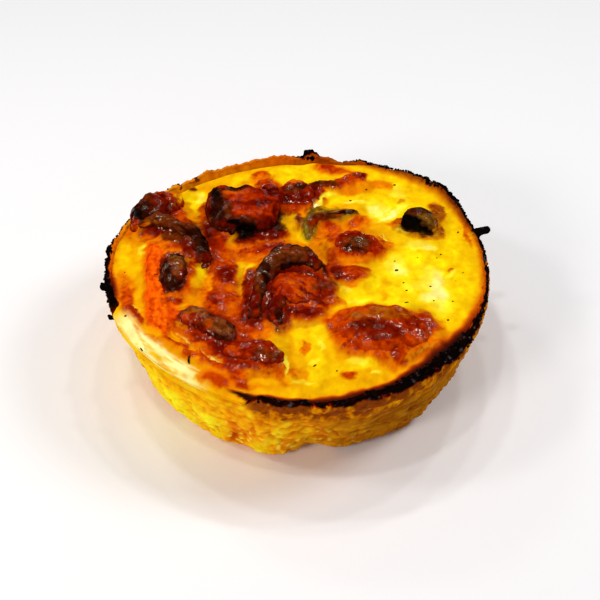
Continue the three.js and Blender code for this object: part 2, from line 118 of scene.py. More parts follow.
# How far the browning at the rim reaches inwards, and how dark it gets
EDGE_BROWN = [
    (-180, 3.0), (-165, 3.5), (-155, 1.0), (-114, 0.6), (-108, 0.9), (-95, 2.4), (-60, 4.0),
    (-40, 5.6), (-25, 3.8), (0, 3.0), (40, 3.8), (65, 3.6), (100, 3.0), (150, 2.0),
]
EDGE_BURN = [
    (-180, 0.4), (-168, 0.9), (-156, 0.2), (-115, 0.05), (-106, 1.05), (-99, 1.0), (-92, 0.9),
    (-60, 1.0), (-38, 1.05), (-27, 0.65), (-15, 0.45), (0, 0.42), (25, 0.6), (50, 0.55), (80, 0.4),
    (110, 0.1), (150, 0.06),
]
# Lower edge of the toasted band under the crest, and how strong it is
BAND_FOOT = [
    (-180, 24.6), (-150, 26), (-108, 24), (-95, 19.6), (-80, 18.4), (-62, 19.6), (-48, 22),
    (-25, 24.5), (40, 26.5), (100, 25.5), (150, 25.5),
]
BAND_TOAST = [
    (-180, 0.6), (-150, 0), (-114, 0.1), (-105, 1.0), (-60, 1.0), (-45, 0.85), (0, 0.8),
    (60, 0.7), (120, 0.4),
]
# How far the char reaches down from the crest's top, and which share of its width is black
CHAR_DEPTH = [
    (-180, 1.1), (-165, 1.8), (-156, 0.2), (-110, -0.6), (-106, -0.6), (-102, 0.6), (-85, 0.4),
    (-68, 0.6), (-53, 1.0), (-38, 1.2), (-27, 0.7), (-10, 0.6), (20, 1.3), (45, 2.0), (66, 1.5),
    (80, 0.6), (88, 1.6), (96, 0.1), (130, 0.5), (150, 0.4), (168, 0.8),
]
CHAR_WIDTH = [
    (-180, 0.45), (-165, 0.75), (-108, 1.2), (-97, 1.0), (-70, 1.1), (-60, 1.15), (-42, 1.05),
    (-30, 0.55), (-15, 0.45), (20, 0.65), (45, 0.9), (66, 0.7), (80, 0.3), (87, 0.8), (96, 0.2),
    (130, 0.3), (150, 0.3), (168, 0.35),
]

# Lobes of the foot and bits of the crest: middle and half-width in degrees, and how far they
# stand out in millimetres
FOOT_LOBES = [
    (-101, 11, 1.8), (-86, 10, -2.9), (-117, 8, 0.9), (-52, 14, 0.9), (20, 16, 0.8),
    (95, 20, -0.9), (150, 14, 0.7), (-158, 12, -0.6),
]
CREST_BITS = [
    (86.5, 3.5, 1.9), (76, 7, -1.1), (40, 25, 3.0), (98, 9, 0.9), (176, 5, 1.0),
    (-172, 4, 0.9), (-60, 6, 0.5), (124, 4, 0.7),
]
# Section of the crest: share of its width inwards, and millimetres below its top
CREST_SECTION = [(0, 1.7), (0.12, 0.5), (0.45, 0), (0.85, 0.3), (1, 1.2)]

# Directions in which something begins, is full, begins to fade and ends
LEAVES_SPAN = (-80, -50, 50, 110)
# The wall's brown span is partly its toasting and partly painted shade on the side away from the
# light
BROWNED_AND_SHADED_SPAN = (-102, -60, 60, 120)
TOASTED_SPAN = (-20, 16, 120, 150)
# The cream span holds the painted highlight along the overflowing lip
LIP_HIGHLIGHT_SPAN = (-158, -150, -123, -114)
UNDER_LIP_SPAN = (-172, -160, -116, -106)
# Directions or heights between which something goes from none to full
PALE_AND_LIT_SIDE = (-100, -130)
# The wall's pale side is partly its own colour and partly painted light on the lit side
OVERHANG_SIDE = (-111, -99)
GOLDEN_SIDE = (-107, -112)
BUTTER_SIDE = (-108, -120)
LUMPY_HEIGHTS = (24, 10)
# Heights over which the pale fat spots, painted as highlights, grow towards the foot
FAT_HIGHLIGHT_HEIGHTS = (20, 8)
# The heights of the foot give painted shade: the wall darker towards the foot
FOOT_SHADE_HEIGHTS = (16, 0)
UNDER_LIP_HEIGHTS = (19, 28)
# How far the custard's edge is burnt on the outside of the crest, where the char starts
BURNT_OVERHANG = 1.6
# Middle and half-width of the reddest stretch of the char, in degrees
RED_CHAR = (-88, 34)

# Broad swells of the custard: x, y, half-length, half-width, turn in degrees, height
SWELLS = [
    (-36, 19, 7, 6, 40, 2.6), (-36, 6.5, 10, 7, 0, 2.4), (-31, -8, 6.5, 10, 8, 2.6),
    (-15.5, 17.5, 15, 13, 0, 1.4), (-8.5, 28, 5, 4.5, 0, 1.3), (-1, 27.5, 9, 8, 0, 1.6),
    (3, 14.5, 4, 5, 0, -1.4), (15, 4, 8, 8, 0, 1.6), (14.5, -7.5, 6.5, 5, -8, 1.5),
    (7, -13, 4.5, 4, 0, 1.3), (38.7, 17.2, 3.4, 3.4, 0, 1.9), (33.5, 16.5, 8, 7, -20, 1.0),
    (-22, 5, 3.2, 4, 0, 1.2), (-19, -7.5, 4.2, 5.5, 0, 1.6), (-21, -17, 5.5, 5, 0, 1.1),
    (-1.5, -13, 14, 14, 0, 1.6), (2, -34, 10, 9, 0, 1.0), (20.5, -29.5, 16, 12.5, 0, 2.6),
    (15, -41, 8, 5, 8, 0.9), (-23, -28, 11, 8, -38, 1.8), (-12, -38.5, 10, 7, -12, 1.6),
]
# Narrow ridges of the custard: height, half-width, path
RIDGES = [
    (2.4, 3.2, [(2.5, 31.5), (8, 33.3), (13, 35), (17, 37.8), (19.5, 36)]),
    (1.4, 2.4, [(-35, -30), (-28, -36), (-21, -40.5), (-15, -46)]),
    (1.2, 2.0, [(-4.2, -38), (-3.6, -43), (-0.5, -46.2), (4, -47)]),
    (1.0, 2.2, [(-44, -17), (-40.5, -26)]),
    (1.2, 1.9, [(24.5, -34), (27, -40)]),
    (1.6, 1.8, [(-13.8, -12), (-14, -19)]),
]
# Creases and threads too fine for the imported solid, as for the ridges
FINE_RIDGES = [
    (0.8, 1.3, [(4, 23), (6.2, 27), (8.6, 30.6)]),
    (0.35, 0.5, [(21.3, 11), (22.6, 9.4), (24, 7)]),
    (-0.6, 0.8, [(38.8, -5.4), (40.8, -2.8)]),
    (-0.7, 0.9, [(-44.5, -16), (-42.4, -21), (-39, -26)]),
    (0.5, 1.6, [(22.5, 17), (27, 22), (31, 26.5)]),
    (-0.5, 0.9, [(0.4, -32.5), (1.4, -37)]),
    (-0.6, 1.2, [(-1.4, -44.2), (1.4, -44.4)]),
    (0.5, 0.8, [(28, -37.2), (33, -34), (37.5, -31.5)]),
    (-0.4, 0.8, [(24, -35), (25.5, -40)]),
]

# The filling's pieces. Stations along each: x, y, z of its middle line, half-width, half-height
PIECES = {
    "roast_cap": dict(
        slot="browned_filling", squareness=2.3, bluntness=2.4, relief=0.55,
        stations=[(-45.6, 13.0, 27.4, 4.4, 4.8), (-41.8, 22.1, 28.6, 5.5, 6.2),
                  (-34.8, 29.8, 27.6, 4.8, 5.2)],
    ),
    "arched_strip": dict(
        slot="dark_filling", squareness=2.4, bluntness=4, relief=0.35,
        stations=[(-45.0, 13.6, 30.6, 1.5, 1.9), (-41.0, 15.4, 31.2, 1.8, 2.2),
                  (-37.2, 14.8, 31.3, 1.8, 2.2), (-33.4, 11.7, 31.3, 1.8, 2.2),
                  (-29.6, 8.6, 31.2, 1.9, 2.3), (-26.8, 4.2, 30.9, 1.9, 2.3),
                  (-25.5, -0.4, 30.4, 1.8, 2.1), (-25.8, -4.2, 29.8, 1.4, 1.7)],
    ),
    "orange_slab": dict(
        slot="orange_filling", squareness=4, bluntness=5, relief=0.15,
        stations=[(-40.4, 7.6, 28.4, 2.2, 2.4), (-38.5, -9.0, 28.7, 2.3, 2.6),
                  (-36.4, -20.0, 28.5, 2.5, 2.5), (-34.6, -27.0, 27.8, 2.1, 2.0)],
    ),
    "dark_nub": dict(
        slot="dark_filling", squareness=2.2, bluntness=2.3, relief=0.4,
        stations=[(-33.9, -0.2, 30.2, 3.0, 3.2), (-33.4, -6.8, 31.0, 3.5, 3.7),
                  (-33.1, -13.4, 29.9, 2.9, 3.1)],
    ),
    "roast_block": dict(
        slot="browned_filling", squareness=4.5, bluntness=5, relief=0.7,
        scoop=(-15.2, 9.3, 30.6, 3.4, 4.2),
        stations=[(-26.0, 17.2, 28.8, 6.6, 4.6), (-20.6, 18.9, 31.0, 8.6, 5.6),
                  (-12.4, 18.8, 30.9, 8.5, 5.2), (-6.3, 17.8, 29.9, 7.4, 4.7)],
    ),
    "glazed_bead": dict(
        slot="red_filling", squareness=2, bluntness=2, relief=0.15,
        stations=[(-11.8, 28.4, 31.2, 2.6, 3.4), (-5.9, 28.4, 31.2, 2.6, 3.4)],
    ),
    "browned_peak": dict(
        slot="browned_filling", squareness=2.1, bluntness=2.2, relief=0.5,
        stations=[(-6.6, 27.8, 29.0, 3.8, 3.6), (-0.8, 29.2, 29.8, 4.8, 4.6),
                  (4.2, 27.6, 29.0, 3.6, 3.2)],
    ),
    "mushroom_slice": dict(
        slot="dark_filling", squareness=2.6, bluntness=4, relief=0.2,
        stations=[(2.4, 9.4, 29.3, 1.2, 1.6), (2.4, 13.2, 29.8, 1.7, 2.0),
                  (3.8, 17.0, 30.2, 1.7, 2.0), (7.6, 18.2, 30.5, 1.5, 1.9),
                  (12.0, 19.3, 30.7, 1.4, 1.9), (16.2, 20.3, 30.6, 1.2, 1.7)],
    ),
    "olive_cap": dict(
        slot="browned_filling", squareness=2.1, bluntness=2.1, relief=0.4,
        stations=[(9.4, 5.8, 30.2, 4.8, 3.9), (20.2, 4.6, 30.0, 4.8, 3.7)],
    ),
    "curled_strip": dict(
        slot="dark_filling", squareness=2.3, bluntness=4.5, relief=0.45,
        stations=[(-11.8, -24.6, 29.8, 1.5, 2.2), (-11.3, -19.6, 31.0, 1.8, 2.8),
                  (-10.1, -14.2, 32.2, 2.0, 3.2), (-8.6, -8.8, 32.9, 2.3, 3.4),
                  (-5.7, -5.3, 33.2, 2.6, 3.5), (-2.2, -3.5, 33.3, 3.0, 3.5),
                  (1.2, -3.6, 33.0, 3.0, 3.4), (3.8, -5.6, 32.2, 2.4, 2.9),
                  (4.4, -8.4, 31.0, 1.5, 2.1)],
    ),
    "curl_flesh": dict(
        slot="orange_filling", squareness=2.3, bluntness=2.6, relief=0.5,
        stations=[(-9.6, -14.4, 29.8, 5.6, 3.2), (-2.0, -14.0, 30.3, 6.8, 3.6),
                  (6.6, -15.4, 29.6, 4.6, 2.8)],
    ),
    "inner_strip": dict(
        slot="dark_filling", squareness=2.4, bluntness=3, relief=0.25,
        stations=[(-4.8, -18.4, 32.4, 1.5, 1.8), (-5.9, -22.4, 31.4, 1.9, 2.1),
                  (-5.2, -28.2, 29.8, 1.7, 1.9)],
    ),
    "red_bar": dict(
        slot="red_filling", squareness=2.4, bluntness=3, relief=0.15,
        stations=[(-3.2, -22.2, 30.5, 1.1, 1.5), (1.0, -22.6, 30.7, 1.3, 1.7),
                  (5.6, -22.2, 30.3, 1.2, 1.5)],
    ),
    "glazed_chunk_left": dict(
        slot="browned_filling", squareness=2.3, bluntness=2.6, relief=0.4,
        stations=[(-30.6, -22.4, 29.4, 3.2, 3.2), (-24.0, -26.6, 30.4, 3.5, 3.6),
                  (-15.8, -32.4, 29.5, 3.3, 3.4)],
    ),
    "glazed_chunk_mid": dict(
        slot="browned_filling", squareness=2.3, bluntness=2.8, relief=0.4,
        stations=[(-19.6, -34.4, 28.6, 2.6, 2.4), (-14.0, -36.6, 29.6, 3.2, 3.0),
                  (-8.6, -37.6, 30.0, 3.5, 3.5), (-4.0, -38.8, 29.4, 3.1, 3.0)],
    ),
    "browned_lump": dict(
        slot="browned_filling", squareness=2.3, bluntness=2.4, relief=0.6,
        stations=[(8.8, -27.8, 28.8, 7.0, 4.2), (20.5, -28.4, 29.3, 8.7, 4.8),
                  (32.4, -29.4, 28.6, 7.0, 4.2)],
    ),
    "mushroom_chunk": dict(
        slot="dark_filling", squareness=3.6, bluntness=4, relief=0.3,
        stations=[(28.6, 16.4, 30.2, 3.4, 3.4), (33.4, 15.2, 30.5, 3.9, 3.8),
                  (38.0, 13.0, 29.8, 3.2, 3.2)],
    ),
}
# Chips of char that stand out of the rim: degrees, radius, z, length, width, thickness, colour
RIM_FLAKES = [
    (15.5, 52.6, 28.9, 5.4, 3.2, 1.1, "black"), (-170.5, 52.2, 27.8, 3.2, 3.0, 1.2, "black"),
    (174.5, 52.3, 28.8, 2.2, 3.4, 1.2, "black"), (-157, 52.8, 27.4, 1.8, 1.4, 1.0, "black"),
    (134.5, 51.6, 28.0, 1.6, 1.4, 0.7, "chestnut"), (127.5, 50.9, 28.4, 1.2, 2.0, 0.8, "umber"),
    (87, 52.2, 29.2, 2.6, 3.6, 1.6, "black"),
]
# Pepper and burnt specks on the custard: x, y, length, width, turn in degrees
SPECKS = [
    (27.8, 35, 1.1, 0.7, 20), (19.3, 31.8, 0.6, 0.5, 0), (37.6, 29.3, 0.7, 0.5, 30),
    (44.0, 12.0, 1.1, 0.5, 60), (38.2, 2.2, 0.6, 0.5, 0), (37.0, 0.6, 0.4, 0.4, 0),
    (31.8, 0.7, 0.5, 0.3, 70), (25.5, -0.8, 0.6, 0.4, 0), (25.7, -4.6, 1.2, 0.9, 10),
    (27.2, -9.8, 0.6, 0.5, 0), (34.2, -11.3, 0.7, 0.5, 0), (27.8, -12.9, 0.8, 0.4, 10),
    (27.4, -17.7, 1.4, 0.5, 12), (17.8, -18.4, 0.7, 0.4, 0), (34.5, -17.0, 0.5, 0.4, 0),
    (39.4, -17.3, 0.5, 0.4, 0), (37.4, -24.5, 0.8, 0.7, 0), (3.5, -40.9, 1.3, 0.5, 40),
    (8.8, -42.7, 0.6, 0.4, 0), (-4.4, 7.9, 1.1, 1.0, 0), (-46.0, -12.0, 0.8, 0.7, 30),
    (-44.5, -22.9, 0.9, 0.6, 60), (43.4, -5.6, 0.4, 0.3, 0), (-46.8, -5.6, 0.4, 0.3, 0),
    (14.5, 27.2, 0.8, 0.5, 0), (6.0, 15.4, 0.5, 0.4, 0), (-32.8, -27.6, 0.5, 0.4, 0),
]
# Burnt fibres and a thread of egg: half-thickness, colour, path
FIBRES = [
    (0.28, "dark", [(-26.7, -37.2), (-27.1, -38.3), (-27.1, -39.4), (-26.9, -40.4)]),
    (0.22, "dark", [(-39.4, -34.8), (-39.0, -35.4), (-38.6, -36.0)]),
    (0.14, "pale", [(21.6, 11.2), (22.4, 9.8), (23.4, 8.4), (24.6, 6.9)]),
]
# Crumbs of char on the crest: how many, least and most half-size, least and most depth of char
# that the draw asks for, and how uneven they are
CRUMB_COUNT = 420
CRUMB_SIZES = (0.15, 0.42)
CRUMB_DEPTHS = (0.4, 2.2)
CRUMB_ROUGHNESS = 0.35

# Colours as the eye sees them on the baked surface, in sRGB
PALETTE = {
    "cream": (255, 247, 160),
    "pale": (254, 230, 62),
    "yellow": (250, 211, 10),
    "butter": (248, 200, 6),
    "gold": (242, 176, 4),
    "amber": (231, 146, 3),
    "orange": (220, 104, 3),
    "scarlet": (253, 94, 4),
    "carrot": (236, 80, 4),
    "rust": (184, 53, 0),
    "brick": (146, 27, 0),
    "maroon": (102, 12, 2),
    "umber": (92, 34, 5),
    "caramel": (158, 72, 4),
    "chestnut": (118, 48, 18),
    "bark": (114, 60, 11),
    "toast": (158, 86, 6),
    "tan": (204, 130, 18),
    "olive": (114, 90, 14),
    "moss": (74, 58, 14),
    "dark": (42, 12, 4),
    "black": (8, 5, 4),
    # Grey of the glints painted on the char
    "char_glint_grey": (92, 80, 80),
}
# Baked custard from pale to burnt: toast from 0 to 1, and its colour
TOAST_COLOURS = [
    (0.00, (255, 247, 170)),
    (0.12, (255, 234, 92)),
    (0.25, (253, 208, 30)),
    (0.38, (246, 172, 12)),
    (0.50, (234, 128, 8)),
    (0.62, (200, 82, 5)),
    (0.74, (146, 42, 4)),
    (0.86, (80, 20, 6)),
    (1.00, (22, 10, 7)),
]
# Browning of the custard's edge on the toasted side, by how burnt it is
TOASTED_COLOURS = [(0, "amber"), (0.2, "orange"), (0.42, "caramel"), (0.62, "umber")]
# Shares of red, green and blue in how light a colour looks
LIGHTNESS = np.array([0.3, 0.6, 0.1])
# How much more green and blue change than red as a surface browns, and where painted shade darkens
# it
BROWNING_AND_SHADE_TINTS = (0.6, 1.25, 1.6)
# Browned skin round each piece: how far it reaches in millimetres, up to which share of the
# piece's half-height above its middle the custard clings, and the colours outwards
HALOS = {
    "roast_cap": (5.2, 0.1, ["maroon", "brick", "rust", "orange"]),
    "arched_strip": (3.4, 0.2, ["dark", "maroon", "rust", "orange"]),
    "orange_slab": (2.2, 0.7, ["carrot", "carrot", "orange", "amber"]),
    "dark_nub": (3.6, 0.3, ["dark", "maroon", "rust", "orange"]),
    "roast_block": (2.4, 0.0, ["dark", "maroon", "rust", "amber"]),
    "glazed_bead": (3.4, 0.3, ["maroon", "brick", "rust", "orange"]),
    "browned_peak": (3.4, 0.3, ["maroon", "brick", "rust", "orange"]),
    "mushroom_slice": (1.6, 0.1, ["olive", "amber"]),
    "olive_cap": (2.2, 0.3, ["brick", "rust", "orange"]),
    "curled_strip": (3.4, 0.2, ["dark", "maroon", "brick", "rust"]),
    "curl_flesh": (3.0, 0.3, ["maroon", "brick", "rust", "orange"]),
    "inner_strip": (3.0, 0.3, ["dark", "maroon", "brick", "rust"]),
    "red_bar": (2.0, 0.3, ["maroon", "brick", "rust", "orange"]),
    "glazed_chunk_left": (5.0, 0.2, ["maroon", "brick", "rust", "orange"]),
    "glazed_chunk_mid": (5.4, 0.2, ["maroon", "brick", "brick", "rust", "orange"]),
    "browned_lump": (3.6, 0.3, ["rust", "orange", "amber"]),
    "mushroom_chunk": (1.2, -0.2, ["toast", "amber"]),
}
# Up to which share of its half-height a piece takes the colour of the skin round it
FLANK_SHARE = 0.55
# Painted shade and light on the pieces' relief: how much lighter a bump is painted than a hollow,
# in stops for each millimetre, and the most that a point is lightened
RELIEF_SHADE = 1.6
MOST_LIFT = 0.6

# Dabs of colour: colour, x, y, half-length, half-width, turn in degrees, strength. Their places are
# where the line of sight from EYE meets the level PAINT_LEVEL, so a dab keeps its place on a bump.
EYE = (-0.08, -225.9, 211.9)
PAINT_LEVEL = 30.0
# Broad washes of the custard, then its dabs, then those over the pale strip of painted highlight on
# the lip
CUSTARD_WASHES = [
    ("butter", 30, 2, 26, 42, 0, 0.9), ("yellow", 26, -4, 15, 26, 0, 0.9),
    ("butter", 6, -38, 12, 12, 0, 0.8),
    ("butter", 6, 38, 30, 10, -10, 0.9), ("amber", -24, 0, 26, 36, 0, 0.9),
    ("orange", -14, 4, 22, 22, 0, 0.6), ("orange", -24, -30, 20, 14, -40, 0.7),
    ("rust", -18, -12, 8, 20, 0, 0.5), ("orange", 12, 8, 12, 14, 0, 0.5),
    ("amber", 22, -34, 18, 12, 0, 0.6),
]
CUSTARD_DABS = [
    # left margin
    ("gold", -47, 2, 5, 13, 0, 0.8), ("butter", -47.5, -1, 2, 3.5, 0, 0.8),
    # Painted highlight: the small pale dab at the end of the next line
    ("butter", -48, 5, 1.6, 3, 0, 0.7), ("pale", -43.4, 4, 0.7, 2.2, 0, 0.9),
    ("orange", -47, 13.5, 3.2, 2.4, 30, 0.9), ("gold", -43, -12, 2.5, 14, 5, 0.8),
    ("orange", -46, -11.5, 2.8, 6.5, 10, 0.75), ("rust", -44.4, -17, 1.6, 6, 16, 0.9),
    ("brick", -41.5, -22.5, 0.9, 3.8, 28, 0.9), ("orange", -41.5, -27.5, 3, 1.5, -40, 0.6),
    # between the dome and the block
    ("amber", -30, 21, 3, 8, 26, 0.95), ("butter", -31, 27.6, 4.2, 7.4, 22, 0.95),
    ("pale", -29.4, 27.8, 1.9, 2.6, 0, 1.0),
    # Painted highlight: the yellow dab at the start of the next line
    ("yellow", -31.6, 25, 1.4, 4, 28, 0.9), ("orange", -28.6, 15.6, 1.6, 5, 22, 0.8),
    ("yellow", -32, 34.5, 6, 1.6, 18, 0.9), ("umber", -31.0, 32.8, 0.9, 1.3, 15, 1.0),
    ("amber", -24.5, 12, 2.5, 5, -20, 0.9),
    # back left
    ("gold", -22, 38.2, 9, 2.2, 26, 0.8), ("butter", -17.5, 38.5, 4.5, 2.2, 30, 0.9),
    ("butter", -5.5, 40, 4.5, 4.5, 0, 0.9), ("yellow", -3.5, 42.2, 3, 1.6, 0, 0.9),
    ("orange", -11.5, 38, 3, 4.2, 0, 0.95), ("rust", -11.2, 40.5, 2.2, 1.4, 0, 0.7),
    ("rust", -9.2, 33.5, 3.7, 4.2, 0, 0.9),
    # below the dome, under the arch and beside the dark oval piece
    ("orange", -35, 7.5, 7.5, 4.4, -20, 0.95), ("rust", -32.6, 5.4, 4, 1.6, -10, 0.8),
    ("brick", -34, 10.6, 3.6, 1.2, -20, 0.8), ("amber", -41.6, 15.8, 2.2, 1.2, -10, 0.8),
    ("maroon", -41.2, 12.4, 2.4, 1.8, 0, 0.8), ("brick", -24.6, 2, 1.8, 6, 4, 0.9),
    ("rust", -29.2, -8, 1.2, 6.5, 8, 0.9), ("rust", -33, -17, 3.2, 1.6, 0, 0.8),
    ("umber", -34.6, 9.6, 5.6, 2.4, -38, 0.9), ("maroon", -39.6, 13.4, 3.4, 1.8, -8, 0.9),
    ("maroon", -30.2, 4.2, 2, 4.2, 14, 0.85), ("amber", -30.4, -0.6, 0.9, 1.6, 0, 0.8),
    ("rust", -33.8, 19.6, 5.5, 1.6, -62, 0.9), ("amber", -31.4, 21.5, 6, 1.4, -62, 0.95),
    # round the block, and the hollow beneath it painted in shade: maroon round the black
    ("maroon", -23.6, 12, 3.6, 7, 8, 0.95), ("maroon", -9.2, 11.2, 4.4, 3, 0, 0.95),
    ("rust", -27.2, 21, 1.0, 5, 8, 0.8), ("maroon", -15.6, 10.4, 4, 4.2, 0, 0.95),
    # Painted shade: black where the hollow under the block's lip lies in shadow
    ("black", -15.4, 11.6, 2.5, 2.7, 0, 0.97),
    # middle left
    ("rust", -21.5, 9, 2.6, 7, 8, 0.85), ("brick", -22.5, 5.5, 2.2, 3.6, 0, 0.95),
    ("gold", -18.8, 8, 1.3, 3.6, 10, 0.9), ("olive", -18.2, 9.5, 0.7, 1.8, 0, 0.4),
    ("orange", -15, 4.5, 4.5, 2.2, -12, 0.9), ("rust", -10, 4.6, 6.5, 2.8, 12, 0.95),
    ("brick", -7.8, 4.8, 4.2, 1.6, 14, 0.85), ("orange", -14, 0.6, 4.5, 1.6, 10, 0.9),
    ("gold", -16, -2.5, 2.6, 1.4, 0, 0.8), ("yellow", -13.2, -4, 1.5, 2.3, 10, 0.9),
    ("amber", -15.9, -10.5, 1.3, 6, 0, 0.9), ("pale", -14.8, -5, 0.5, 2, 0, 0.6),
    ("rust", -21.6, -5.6, 2.8, 6.2, 5, 0.6), ("brick", -20, -6, 2.8, 4.4, 0, 0.9),
    ("maroon", -20, -6.6, 2, 3.2, 0, 0.85), ("gold", -23.8, -9, 0.9, 3.6, 0, 0.6),
    ("yellow", -16.4, -5.2, 0.9, 3, 0, 0.7),
    ("gold", -26.8, -7, 1.9, 6.5, -8, 0.95), ("yellow", -26.8, -5, 1.1, 3, -8, 0.8),
    ("orange", -32, -15.8, 3.8, 2.2, 0, 0.9), ("brick", -32.3, -17.3, 1.6, 1.2, 0, 0.7),
    ("amber", -27, -16.8, 3, 2.5, 0, 0.8), ("gold", -31.5, -19.8, 2.6, 1.2, 25, 0.8),
    ("rust", -20.5, -18, 4.5, 5, 0, 0.9), ("brick", -21.3, -16, 2, 3.2, 20, 0.85),
    ("orange", -17.4, -19.5, 1.4, 2.4, 0, 0.7), ("maroon", -12.6, -14, 2.2, 9, 0, 0.9),
    ("rust", -13, -25.5, 4, 6, 0, 0.9), ("maroon", -11.6, -23, 2.6, 4.4, 0, 0.85),
    ("brick", -10.6, -12, 3.6, 4, 0, 0.7), ("maroon", -5.4, -24.4, 2.4, 4.2, 6, 0.8),
    ("orange", -8.6, -28.5, 1.9, 4, 8, 0.95), ("amber", -6.3, -32, 2, 2.4, 30, 0.8),
    # below the orange slab and along the lip
    ("carrot", -34.8, -22.5, 3.6, 5, 0, 0.9),
    ("rust", -33, -26.4, 2.4, 1.4, -40, 0.6), ("gold", -37.5, -28.5, 3.2, 1.4, -30, 0.7),
    ("amber", -29.6, -26.6, 3, 1.5, -45, 0.8), ("rust", -25.5, -30.8, 3.6, 2, -48, 0.95),
    ("orange", -28, -31.5, 7, 1.3, -40, 0.85), ("rust", -28, -34.8, 9.5, 0.8, -38, 0.85),
    ("rust", -20, -39.8, 5, 1.7, -33, 0.85), ("brick", -14.5, -41, 4, 2.8, -35, 0.85),
    ("gold", -29, -39.5, 11, 2.4, -38, 0.7), ("rust", -20.2, -45.8, 3.2, 2.2, -35, 1.0),
    # Painted highlights: the thin gold dabs on this line and the next, and the thin tan one after
    # them, are glints along the ridge
    ("brick", -19.6, -46.6, 1.6, 0.9, -35, 0.5), ("gold", -31, -30.4, 2.4, 0.4, -44, 0.8),
    ("gold", -26.5, -34.6, 2, 0.3, -44, 0.8), ("tan", -20.8, -38.8, 2, 0.4, -30, 0.9),
    ("maroon", -21.5, -33.5, 3.4, 1.6, -45, 0.8), ("brick", -14, -41, 5, 3.2, -30, 0.85),
    ("maroon", -12.4, -42, 2.6, 2, -35, 0.8), ("orange", -17, -46.8, 2.4, 1.6, -30, 0.7),
    ("rust", -15, -44.6, 3, 2.2, -40, 0.9), ("brick", -13.4, -46.8, 2.2, 1.4, -25, 0.85),
    # Painted highlights: the thin cream dabs from here to the next line, and the thin tan dab after
    # them, are glints along the ridges
    ("orange", -10.4, -46.2, 2, 1.6, 0, 0.7), ("cream", -29, -31, 3.6, 0.3, -42, 0.75),
    ("cream", -22, -38.4, 3.4, 0.3, -34, 0.75), ("cream", -41.6, -20, 2.6, 0.25, -62, 0.6),
    ("tan", -26, -34.4, 4, 0.3, -42, 0.7), ("maroon", -24.4, -31, 3, 1, -46, 0.7),
    # front
    ("butter", 0.5, -35, 8, 9.5, 0, 0.9), ("yellow", 4.6, -31.5, 2.4, 6.5, 0, 0.9),
    ("pale", 5.2, -34.5, 0.9, 2.8, 10, 0.8), ("orange", 1.1, -34.8, 0.8, 2.7, 12, 0.9),
    ("amber", -9, -44.5, 4.6, 2.5, -10, 0.85), ("gold", -7.5, -46.4, 4, 1, -8, 0.7),
    # Painted highlight: the thin pale dabs on this line and the next light the ridge that curls
    # round the front
    ("amber", 0, -44.4, 1.7, 1.3, 0, 0.95), ("pale", 0.8, -46.4, 3.4, 0.6, 3, 0.8),
    ("pale", -3.8, -41, 0.45, 3.2, 4, 0.95), ("butter", 6.5, -40.5, 3.5, 4, 0, 0.8),
    ("yellow", 5, -44, 3.4, 1.6, 10, 0.8), ("amber", 10, -39.2, 1.6, 2, 0, 0.5),
    ("tan", 0.4, -26.2, 5, 1.1, 8, 0.6), ("amber", -2.6, -35, 0.8, 5, 4, 0.6),
    ("gold", 7.4, -36, 1.2, 6, 8, 0.6), ("pale", 3.6, -39.6, 1.6, 1.0, 30, 0.7),
    ("yellow", 14, -40.2, 5.4, 2.2, 5, 0.9), ("pale", 13.5, -39.2, 2.8, 0.8, -10, 0.8),
    ("pale", 17.8, -43, 1.3, 0.6, 25, 0.9), ("rust", 11.6, -44.2, 1.9, 1.2, -10, 0.9),
    ("orange", 21.8, -38.5, 4, 3, -40, 0.85), ("rust", 20, -37, 1.8, 2.4, 0, 0.8),
    ("brick", 25, -37.5, 1.6, 2.8, 10, 0.9), ("orange", 29.5, -33.5, 4, 2, 30, 0.9),
    ("tan", 31.5, -35, 5, 0.7, 36, 0.95), ("amber", 35.5, -30, 3.2, 1.6, 15, 0.85),
    ("amber", 27, -37.2, 2, 0.8, 40, 0.7), ("brick", 31.8, -26, 1.8, 4.4, 4, 0.85),
    # right, front of the middle
    ("yellow", 27, -10, 9, 11, 0, 0.9), ("pale", 35.6, -12.5, 3.8, 9.5, 8, 0.95),
    ("cream", 36.2, -12, 2, 6, 4, 0.8), ("cream", 33, -15.8, 2.6, 1.8, 30, 0.8),
    ("pale", 25.8, -2.5, 2.8, 4.5, 0, 0.8), ("cream", 26.6, -4.3, 1.3, 1.8, 0, 0.6),
    ("pale", 30, -11.5, 3, 1.6, 0, 0.6), ("gold", 21.8, -12, 1.6, 4.5, 0, 0.8),
    ("amber", 22, -14.5, 0.9, 2.2, 0, 0.6), ("yellow", 13.5, -15, 5, 3.2, 0, 0.9),
    ("pale", 12.2, -12, 1.7, 0.6, -45, 0.9), ("pale", 15, -16.8, 3.5, 0.6, 3, 0.7),
    ("orange", 10.8, -17, 1.6, 1.2, 0, 0.7), ("butter", 42, -6, 3.2, 14, 0, 0.8),
    ("butter", 18.5, -2, 2.4, 4, 0, 0.7), ("pale", 40.5, -5.6, 2.2, 0.8, 40, 0.8),
    ("orange", 39.8, -4.2, 1.4, 0.4, 50, 1.0), ("pale", 33.5, 6.5, 4, 1.8, 0, 0.9),
    ("cream", 35.5, 6, 2, 1, 0, 0.6), ("butter", 36, 0, 3, 3, 0, 0.5),
    # around the ringed cap
    ("orange", 8, 9, 4, 7, 0, 0.85), ("amber", 6.5, 6, 1.6, 4, 10, 0.7),
    ("rust", 8.8, 13.2, 2.4, 4.6, 15, 0.85), ("brick", 7.6, 15.5, 1.8, 2.4, 20, 0.6),
    ("orange", 16.4, 15, 3.4, 4.6, -20, 0.95), ("rust", 15.6, 17, 1.6, 2.2, -25, 0.8),
    ("amber", 19.4, 12.5, 1.2, 3.4, 35, 0.8), ("orange", 22.8, 7.4, 3.2, 1.7, -50, 0.85),
